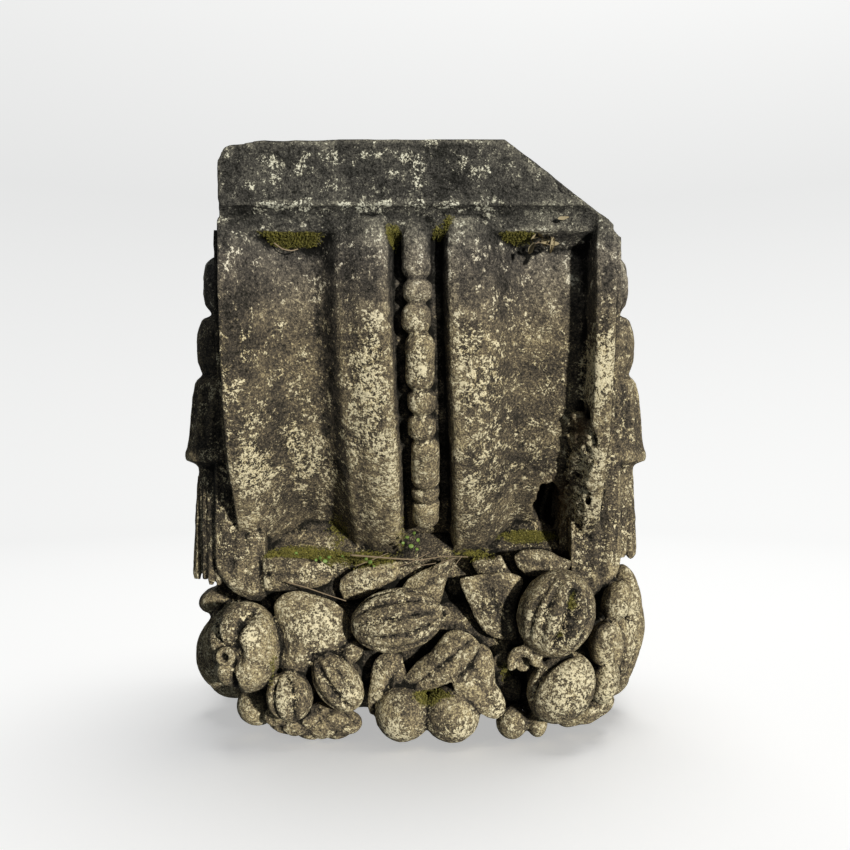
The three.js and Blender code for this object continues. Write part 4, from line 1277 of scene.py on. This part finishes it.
# %% Lay the base of the limestone
limestone.use_nodes = True
stone = limestone.node_tree
spot = node(stone, "ShaderNodeTexCoord").outputs["Object"]
parts = {"height": node(stone, "ShaderNodeSeparateXYZ", {0: spot}).outputs[2]}
for title in MARKS:
    parts[title] = node(stone, "ShaderNodeAttribute", attribute_name=title).outputs["Fac"]
for title, size, detail, rough in (("crumb", 2.0, 3, 0.75), ("speck", 4.5, 4, 0.7), ("cluster", 15, 4, 0.65),
                                   ("cloud", 50, 3, 0.6), ("star", 7, 3, 0.8), ("hole", 3.2, 2, 0.5)):
    # crumbs of 2 mm to clouds of 50 mm; the stone's own grain of 0.2 mm is too fine to show
    settings = {"Vector": spot, "Scale": 1 / (size * MM), "Detail": detail, "Roughness": rough}
    parts[title] = node(stone, "ShaderNodeTexNoise", settings).outputs[0]
follow(stone, parts, [
    # the lower the stone, the less crust. A noise lies round a half, so half its share comes off:
    # the first step runs from 0.35 to 0.45, less half of 0.75, 0.55 and 0.8
    ("value", RAMP, "height", 0.25, 0.21, -0.7, -0.6),
    ("lower", RAMP, "height", 0.2, -0.06, 0.0, 0.07),
    ("value", PLUS, "value", "lower"),
    ("value", ADD_SHARE, "cloud", 0.75, "value"),
    ("value", ADD_SHARE, "cluster", 0.55, "value"),
    ("value", ADD_SHARE, "speck", 0.8, "value"),
    ("grainy", RAMP, "height", 0.22, -0.06, 1.1, 1.6),
    ("value", ADD_SHARE, "crumb", "grainy", "value"),
    ("value", ADD_SHARE, "grainy", -0.5, "value"),
    # the crust mark darkens the stone: soot crust, and painted shade at the far left and on the left roll's
    # flank
    ("value", ADD_SHARE, "crust", -0.16, "value"),
])
print("limestone: base value from", len(parts), "parts")

# %% Grow the lichen and lay the grime
follow(stone, parts, [
    # crumbs of lichen stand in clusters, and the clusters run together on the big patches
    ("patch", TIMES, "lichen", 0.2),
    ("foot", RAMP, "height", 0.2, -0.06, 0.0, 0.05),
    ("grown", PLUS, "cluster", "patch"),
    ("grown", PLUS, "grown", "foot"),
    ("grown", RAMP, "grown", 0.5, 0.66, 0.0, 1.0),
    ("crumbs", TIMES, "speck", 0.62),
    ("crumbs", ADD_SHARE, "crumb", 0.38, "crumbs"),
    ("crumbs", ADD_SHARE, "patch", 0.2, "crumbs"),
    ("crumbs", ADD_SHARE, "grown", 0.06, "crumbs"),
    ("crumbs", RAMP, "crumbs", 0.545, 0.6, 0.0, 1.0),
    ("sunned", RAMP, "open", 0.3, 0.7, 0.0, 1.0),
    ("lichened", TIMES, "grown", "crumbs"),
    ("lichened", TIMES, "lichened", "sunned"),
    ("thick", RAMP, "crumb", 0.3, 0.62, 0.24, 0.5),
    ("value", ADD_SHARE, "lichened", "thick", "value"),
    # small discs of lichen with broken rims
    ("star", RAMP, "star", 0.6, 0.68, 0.0, 1.0),
    ("rim", RAMP, "crumb", 0.42, 0.56, 0.0, 1.0),
    ("star", TIMES, "star", "rim"),
    ("star", TIMES, "star", "open"),
    ("value", ADD_SHARE, "star", 0.36, "value"),
    # grime with painted shade in the hollows and the grooves of the carving, pale wear on the arrises, dark
    # pinholes
    ("grime", RAMP, "open", 0.7, 0.1, 0.0, 0.2),
    ("value", MINUS, "value", "grime"),
    # the deeper a point lies in a groove of the carving, the darker it is painted: dirt and painted shade
    ("carved", RAMP, "height", -0.1, -0.15, 1.0, 2.0),
    ("groove", TIMES, "hollow", "carved"),
    ("groove", RAMP, "groove", 0.6, 1.7, 0.0, 0.42),
    ("value", MINUS, "value", "groove"),
    ("wear", RAMP, "hollow", -0.3, -1.1, 0.0, 0.16),
    ("value", PLUS, "value", "wear"),
    ("hole", RAMP, "hole", 0.6, 0.72, 0.0, 1.0),
    ("value", ADD_SHARE, "hole", -0.2, "value"),
])
print("limestone: value from", len(parts), "parts")

# %% Colour the stone
follow(stone, parts, [
    # soot greyed the slab and the top of the front, which the rain washes least
    ("hue", RAMP, "height", 0.19, 0.24, 0.5, 0.53),
    ("warmth", RAMP, "height", 0.1, 0.24, 1.0, 0.5),
    ("earth", RAMP, "cluster", 0.35, 0.6, 0.2, 0.85),
    ("earth", TIMES, "earth", "broken"),
    # the moss stain ends where its mark and the specks, less a half, together fall below 0.3
    ("felt", ADD_SHARE, "speck", 1.6, "moss"),
    ("felt", RAMP, "felt", 1.1, 1.4, 0.0, 0.85),
    ("leafy", RAMP, "crumb", 0.35, 0.65, 0.0, 1.0),
])
ramp = node(stone, "ShaderNodeValToRGB", {0: parts["value"]})
while len(ramp.color_ramp.elements) < len(WEATHERED):
    ramp.color_ramp.elements.new(0.5)
for stop, (at, shade) in zip(ramp.color_ramp.elements, WEATHERED):
    stop.position = at
    stop.color = linear(shade)
colour = node(stone, "ShaderNodeHueSaturation", {"Hue": parts["hue"], "Saturation": parts["warmth"],
                                                 "Color": ramp.outputs[0]}).outputs[0]
green = node(stone, "ShaderNodeMix", {0: parts["leafy"], 6: MOSS_DARK, 7: MOSS_LIGHT}, data_type="RGBA")
for share, over in ((parts["earth"], EARTH), (parts["felt"], green.outputs[2])):
    colour = node(stone, "ShaderNodeMix", {0: share, 6: colour, 7: over}, data_type="RGBA").outputs[2]
shader = stone.nodes["Principled BSDF"]
stone.links.new(colour, shader.inputs["Base Color"])
shader.inputs["Roughness"].default_value = 0.93
shader.inputs["Specular IOR Level"].default_value = 0.2
print("limestone: lichen, grime and moss stain")

# %% Roughen it
follow(stone, parts, [
    ("rise", TIMES, "crumb", 0.8),
    ("rise", ADD_SHARE, "speck", 1.1, "rise"),
    ("rise", ADD_SHARE, "lichened", 0.3, "rise"),
])
bump = node(stone, "ShaderNodeBump", {"Strength": 1.0, "Distance": 0.003, "Height": parts["rise"]})
stone.links.new(bump.outputs[0], shader.inputs["Normal"])
print("limestone nodes:", len(stone.nodes))

# %% Put the carved stone in place of the solid
carved = object_of(stone_mesh, "bracket_stone_carved")
stone_mesh.materials.clear()
stone_mesh.materials.append(limestone)
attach(carved, "root")
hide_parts("bracket_stone")
print("carved stone stands for the solid")

# %% [markdown]
# ## Moss
#
# The moss is a low cushion moss. One tuft of a few leaflets is drawn, and Geometry Nodes scatter it over
# the stone where the moss value is high, at the angle of the surface.

# %% Make one tuft
def tuft_form(leaflets=7):
    points, faces = [], []
    for k in range(leaflets):
        turn = k * 2.4
        out_by = 1.3 * (0.35 + 0.9 * (k / leaflets))
        tip = (out_by * math.cos(turn), out_by * math.sin(turn), 2.2 - 0.8 * (k / leaflets))
        wide = (0.4 * math.cos(turn + 1.57), 0.4 * math.sin(turn + 1.57))
        base = len(points)
        for s in (-1, 1):
            points.append((0.35 * math.cos(turn + s * 1.5), 0.35 * math.sin(turn + s * 1.5), -0.3))
        points.append((tip[0] * 0.55 + wide[0], tip[1] * 0.55 + wide[1], 1.1))
        points.append(tip)
        points.append((tip[0] * 0.55 - wide[0], tip[1] * 0.55 - wide[1], 1.1))
        faces += [[base, base + 1, base + 2], [base, base + 2, base + 4], [base + 4, base + 2, base + 3]]
    return closed_form(points, faces)


tuft = object_of(mesh_of(tuft_form(), "moss_tuft"), "moss_tuft")
print("tuft:", len(tuft.data.polygons), "faces")

# %% Colour the moss
def mottled(name, dark, light, size, rough):
    # a dull skin of two shades in patches about this many millimetres across
    material = bpy.data.materials.new(name)
    material.use_nodes = True
    tree = material.node_tree
    spot = node(tree, "ShaderNodeTexCoord").outputs["Object"]
    patches = node(tree, "ShaderNodeTexNoise", {"Vector": spot, "Scale": 1 / (size * MM), "Detail": 3})
    shade = node(tree, "ShaderNodeMix", {0: patches.outputs[0], 6: dark, 7: light}, data_type="RGBA")
    skin = tree.nodes["Principled BSDF"]
    tree.links.new(shade.outputs[2], skin.inputs["Base Color"])
    skin.inputs["Roughness"].default_value = rough
    return material


# cushion moss: soft and matt, dark green with yellow tips
moss_green = mottled("cushion_moss", MOSS_DARK, MOSS_LIGHT, 9, 0.85)
print("moss colours ready")

# %% Scatter the tufts
scatter, given = geometry_tree("grow_moss", [
    ("Tuft", "NodeSocketObject", None), ("Density", "NodeSocketFloat", 330000.0),
    ("Seed", "NodeSocketInt", 5)])
spot = node(scatter, "GeometryNodeInputPosition").outputs[0]
parts = {
    "Density": given["Density"],
    "moss": node(scatter, "GeometryNodeInputNamedAttribute", {"Name": "moss"}, data_type="FLOAT").outputs[0],
    "patchy": node(scatter, "ShaderNodeTexNoise", {"Vector": spot, "Scale": 1 / (8 * MM), "Detail": 3,
                                                   "Roughness": 0.6}).outputs[0],
}
follow(scatter, parts, [
    ("patchy", MINUS, "patchy", 0.5),
    ("patchy", TIMES, "patchy", 1.2),
    ("dense", PLUS, "moss", "patchy"),
    ("dense", RAMP, "dense", 0.35, 0.7, 0.0, 1.0),
    ("dense", TIMES, "dense", "Density"),
])
points = node(scatter, "GeometryNodeDistributePointsOnFaces", {"Mesh": given[0], "Density": parts["dense"],
                                                               "Seed": given["Seed"]}).outputs
spun = node(scatter, "FunctionNodeRandomValue", {"Min": (0, 0, 0), "Max": (0.5, 0.5, 6.28)},
            data_type="FLOAT_VECTOR")
turn = node(scatter, "FunctionNodeEulerToRotation", {"Euler": spun.outputs[0]}).outputs[0]
turned_to = node(scatter, "FunctionNodeRotateRotation", {"Rotation": points["Rotation"], "Rotate By": turn},
                 rotation_space="LOCAL")
tufts = node(scatter, "GeometryNodeInstanceOnPoints", {
    "Points": points[0],
    "Instance": node(scatter, "GeometryNodeObjectInfo", {"Object": given["Tuft"]}).outputs["Geometry"],
    "Rotation": turned_to.outputs[0],
    "Scale": node(scatter, "FunctionNodeRandomValue", {2: 0.5, 3: 1.15}, data_type="FLOAT").outputs[1],
})
close_tree(scatter, tufts, given)

ground = object_of(stone_mesh.copy(), "moss_ground")
moss_mesh = with_nodes(ground, scatter, Tuft=tuft, Material=moss_green)
bpy.data.objects.remove(tuft)
moss_piece = object_of(moss_mesh, "moss")
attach(moss_piece, "root")
print("moss:", len(moss_mesh.polygons), "faces")

# %% [markdown]
# ## What lies on the ledge
#
# Twigs, dry grass, seedlings and a dead leaf have gathered on the ledge and in the channel heads. They
# are thin, so each is drawn as a small tube or blade along a few points.

# %% Draw tubes along points
def tube(path, radius, taper=0.7, sides=6):
    path = np.asarray(path, float)
    steps_along = np.linspace(0, len(path) - 1, 5 * len(path))
    smooth = np.column_stack([np.interp(steps_along, range(len(path)), path[:, k]) for k in range(3)])
    for _ in range(3):
        smooth[1:-1] = 0.5 * smooth[1:-1] + 0.25 * (smooth[2:] + smooth[:-2])
    rings = []
    for k, at in enumerate(smooth):
        ahead = smooth[min(k + 1, len(smooth) - 1)] - smooth[max(k - 1, 0)]
        ahead /= np.linalg.norm(ahead)
        side = np.cross(ahead, (0.2, 1, 0.1))
        side /= np.linalg.norm(side)
        up = np.cross(side, ahead)
        r = radius * (1 - (1 - taper) * k / (len(smooth) - 1))
        rings.append([at + r * (math.cos(a) * side + math.sin(a) * up) for a in angles(sides)])
    return loft(rings)


def at_pixel(px, py, recession):
    # a place seen at a pixel of the frame, so far behind the front plane
    scale = (FRONT + recession - CAMERA_Y) / FOCAL_PIXELS
    middle = FRAME_PIXELS / 2
    return CAMERA_X + (px - middle) * scale, FRONT + recession, CAMERA_Z + (middle - py) * scale


def plant_skin(name, hex_colour, rough=0.8):
    # bark and dead leaf are dry and matt, a seedling has a slight sheen; both are darker in patches of 4 mm
    light = linear(hex_colour)
    dark = tuple(c * 0.55 for c in light[:3]) + (1.0,)
    return mottled(name, dark, light, 4, rough)


def loose_piece(name, parts, material):
    piece = object_of(fused(parts, name), name)
    piece.data.shade_smooth()
    piece.data.materials.append(material)
    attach(piece, "root")
    return piece


print("tubes ready")

# %% Lay the twigs and grass
TWIGS = [
    # radius, points as (px, py, recession)
    (1.1, [(350, 555, 118), (375, 557, 112), (400, 559, 110), (424, 560, 112)]),
    (0.7, [(286, 582, 100), (305, 587, 96), (325, 594, 92), (346, 601, 92)]),
    (0.8, [(274, 243, 24), (282, 249, 24), (291, 251, 26), (298, 249, 30)]),
    (0.6, [(420, 560, 112), (445, 556, 112), (468, 557, 110)]),
    (0.5, [(432, 570, 108), (442, 562, 108), (456, 558, 110)]),
    (0.5, [(452, 575, 108), (455, 565, 108), (462, 556, 110)]),
    (0.5, [(400, 566, 110), (412, 562, 108), (430, 552, 112)]),
    (0.5, [(405, 572, 108), (418, 566, 106), (436, 563, 108)]),
    (0.5, [(356, 566, 112), (372, 560, 110), (388, 553, 114)]),
    (0.4, [(536, 244, 28), (544, 236, 24), (556, 229, 22)]),
    (0.4, [(528, 248, 30), (538, 242, 26), (553, 246, 26)]),
]
twig_brown = plant_skin("dry_twig", "#a08d72")
twigs = [tube([at_pixel(*p) for p in path], radius) for radius, path in TWIGS]
loose_piece("twigs", twigs, twig_brown)
print("twigs:", len(twigs))

# %% Plant the seedlings
def seedling_leaf(at, radius, tilt, turn):
    rings = []
    for share, lift in ((1.0, 0.0), (0.7, 0.35), (0.3, 0.5)):
        a = angles(12)
        reach = radius * share
        ring = np.column_stack([reach * np.cos(a), reach * 0.85 * np.sin(a), np.full(len(a), lift)])
        rings.append(placed(ring, at, nod=tilt, face=turn))
    return loft(rings)


SEEDLINGS = [
    # px, py, recession, leaf radius
    (411, 546, 112, 3.2), (418, 540, 110, 2.8), (407, 537, 112, 2.6), (414, 533, 114, 2.4),
    (403, 543, 114, 2.2), (417, 549, 110, 2.4), (370, 562, 108, 3.0), (366, 559, 110, 2.2),
    (374, 566, 108, 2.0), (325, 561, 104, 3.0), (320, 558, 106, 2.6), (329, 557, 106, 2.4),
    (316, 560, 106, 2.2), (296, 553, 110, 2.0), (342, 556, 110, 2.0),
]
plants = []
for number, (px, py, recession, radius) in enumerate(SEEDLINGS):
    at = at_pixel(px, py, recession)
    plants.append(seedling_leaf(at, radius, 70 + 25 * math.sin(number * 2.1), 40 * math.sin(number * 1.7)))
    foot_at = (at[0] + 2 * math.sin(number), at[1] + 16, at[2] - 7)
    plants.append(tube([at, ((at[0] + foot_at[0]) / 2, at[1] + 9, at[2] - 2), foot_at], 0.45))
loose_piece("seedlings", plants, plant_skin("seedling_green", "#7d9a45", 0.55))
print("seedlings:", len(SEEDLINGS))

# %% Drop the dead leaf
def dead_leaf(start, end, width, curl):
    # a curled scrap: three points across, nine along
    points, faces = [], []
    count = 9
    for k in range(count):
        t = k / (count - 1)
        middle = np.array(start) * (1 - t) + np.array(end) * t
        half = width * math.sin(math.pi * (0.08 + 0.86 * t)) * (1 + 0.2 * math.sin(7 * t))
        for s in (-1, 0, 1):
            away = (-0.6 * s * half, -curl * abs(s) * (0.5 + t), 0.8 * s * half)
            points.append(middle + away)
    for k in range(count - 1):
        for s in (0, 1):
            a = 3 * k + s
            faces.append([a, a + 1, a + 4, a + 3])
    return closed_form(points, faces)


chance = np.random.default_rng(5)
scraps = []
for _ in range(11):
    px, recession = chance.uniform(530, 553), chance.uniform(12, 26)
    py = chance.uniform(230, 249)
    step = chance.uniform(-9, 9, 2)
    start = at_pixel(px - step[0], py - step[1], recession)
    end = at_pixel(px + step[0], py + step[1], recession - 5)
    scraps.append(dead_leaf(start, end, chance.uniform(2, 4.5), chance.uniform(2, 7)))
scraps.append(dead_leaf(at_pixel(558, 219, -2), at_pixel(569, 217, 0), 2.2, 1))
loose_piece("dead_leaf", scraps, plant_skin("dead_leaf_brown", "#a89b7a"))
print("scraps:", len(scraps))

# %% [markdown]
# ## Floor and light
#
# A pale round floor that sweeps up all round keeps the eye on the stone. The key light is broad but far
# away, low from the right, as the sun stood, so the rims, rolls and fruit throw the long shadows that
# show their relief. The surround fills the shadows only a little, and a weak soft light from behind
# keeps the wall face readable.

# %% Lay the floor
FLOOR_Z = -324
FLOOR_FLAT = 2000
FLOOR_RISE = 1400
FLOOR_TOP = 6000
SIDES = 72
sweep = [(0.5, FLOOR_Z), (FLOOR_FLAT, FLOOR_Z)]
for t in range(6, 91, 6):
    turn = math.radians(t)
    sweep.append((FLOOR_FLAT + FLOOR_RISE * math.sin(turn), FLOOR_Z + FLOOR_RISE * (1 - math.cos(turn))))
sweep.append((FLOOR_FLAT + FLOOR_RISE, FLOOR_TOP))
sheet = []
for radius, z in sweep:
    sheet += [(radius * math.cos(turn), radius * math.sin(turn), z) for turn in angles(SIDES)]
strips = [(a * SIDES + k, a * SIDES + (k + 1) % SIDES) for a in range(len(sweep) - 1) for k in range(SIDES)]
floor_mesh = mesh_of(closed_form(sheet, [[a, b, b + SIDES, a + SIDES] for a, b in strips]), "floor")
floor_mesh.shade_smooth()
floor = object_of(floor_mesh, "floor")
floor.visible_diffuse = False
floor.visible_glossy = False
# matt painted board, lifted to near white so that no grey edge shows behind the stone
pale = bpy.data.materials.new("pale_studio_floor")
pale.use_nodes = True
for title, value in (("Base Color", linear("#f0efec")), ("Roughness", 0.95),
                     ("Emission Color", linear("#ffffff")), ("Emission Strength", 0.42)):
    pale.node_tree.nodes["Principled BSDF"].inputs[title].default_value = value
floor_mesh.materials.append(pale)
print("floor:", 2 * (FLOOR_FLAT + FLOOR_RISE), "mm across")

# %% Light the surround
world = bpy.data.worlds.new("pale_surround")
bpy.context.scene.world = world
world.use_nodes = True
sky = world.node_tree
seen = node(sky, "ShaderNodeBackground", {"Color": linear("#f7f7f5"), "Strength": 1.0})
fills = node(sky, "ShaderNodeBackground", {"Color": linear("#e4ebf2"), "Strength": 0.16})
sky_mix = node(sky, "ShaderNodeMixShader", {0: node(sky, "ShaderNodeLightPath").outputs["Is Camera Ray"],
                                            1: fills.outputs[0], 2: seen.outputs[0]})
sky.links.new(sky_mix.outputs[0], sky.nodes["World Output"].inputs[0])
# the stone runs from near black to cream, and a film curve would grey it, so none is used
bpy.context.scene.view_settings.view_transform = "Standard"
print("surround ready")

# %% Hang the lights
lit_things = bpy.data.collections.new("lit_by_the_key")
for thing in bpy.data.objects:
    if thing.type == "MESH" and thing is not floor:
        lit_things.objects.link(thing)
only_floor = bpy.data.collections.new("lit_by_the_softbox")
only_floor.objects.link(floor)


def hang(name, kind, energy, lights, **settings):
    data = bpy.data.lights.new(name, kind)
    data.energy = energy
    for key, value in settings.items():
        setattr(data, key, value)
    lamp = object_of(data, name)
    lamp.light_linking.receiver_collection = lights
    return lamp


key = hang("key", "SUN", 4.0, lit_things, angle=math.radians(2.5), color=(1.0, 0.965, 0.9))
back = hang("back_fill", "SUN", 1.6, lit_things, angle=math.radians(40))
TO_SUN = Vector((0.509, -0.848, 0.146))
for sun, towards in ((key, TO_SUN), (back, Vector((0.0, 0.97, 0.2)))):
    sun.light_linking.blocker_collection = lit_things
    sun.rotation_euler = towards.to_track_quat("Z", "Y").to_euler()
soft = hang("floor_softbox", "AREA", 150, only_floor, shape="DISK", size=4)
soft.location = (0.6, 0.4, 4.5)
soft.visible_camera = False
print("key stands", round(math.degrees(math.asin(TO_SUN.z / TO_SUN.length))), "degrees high")
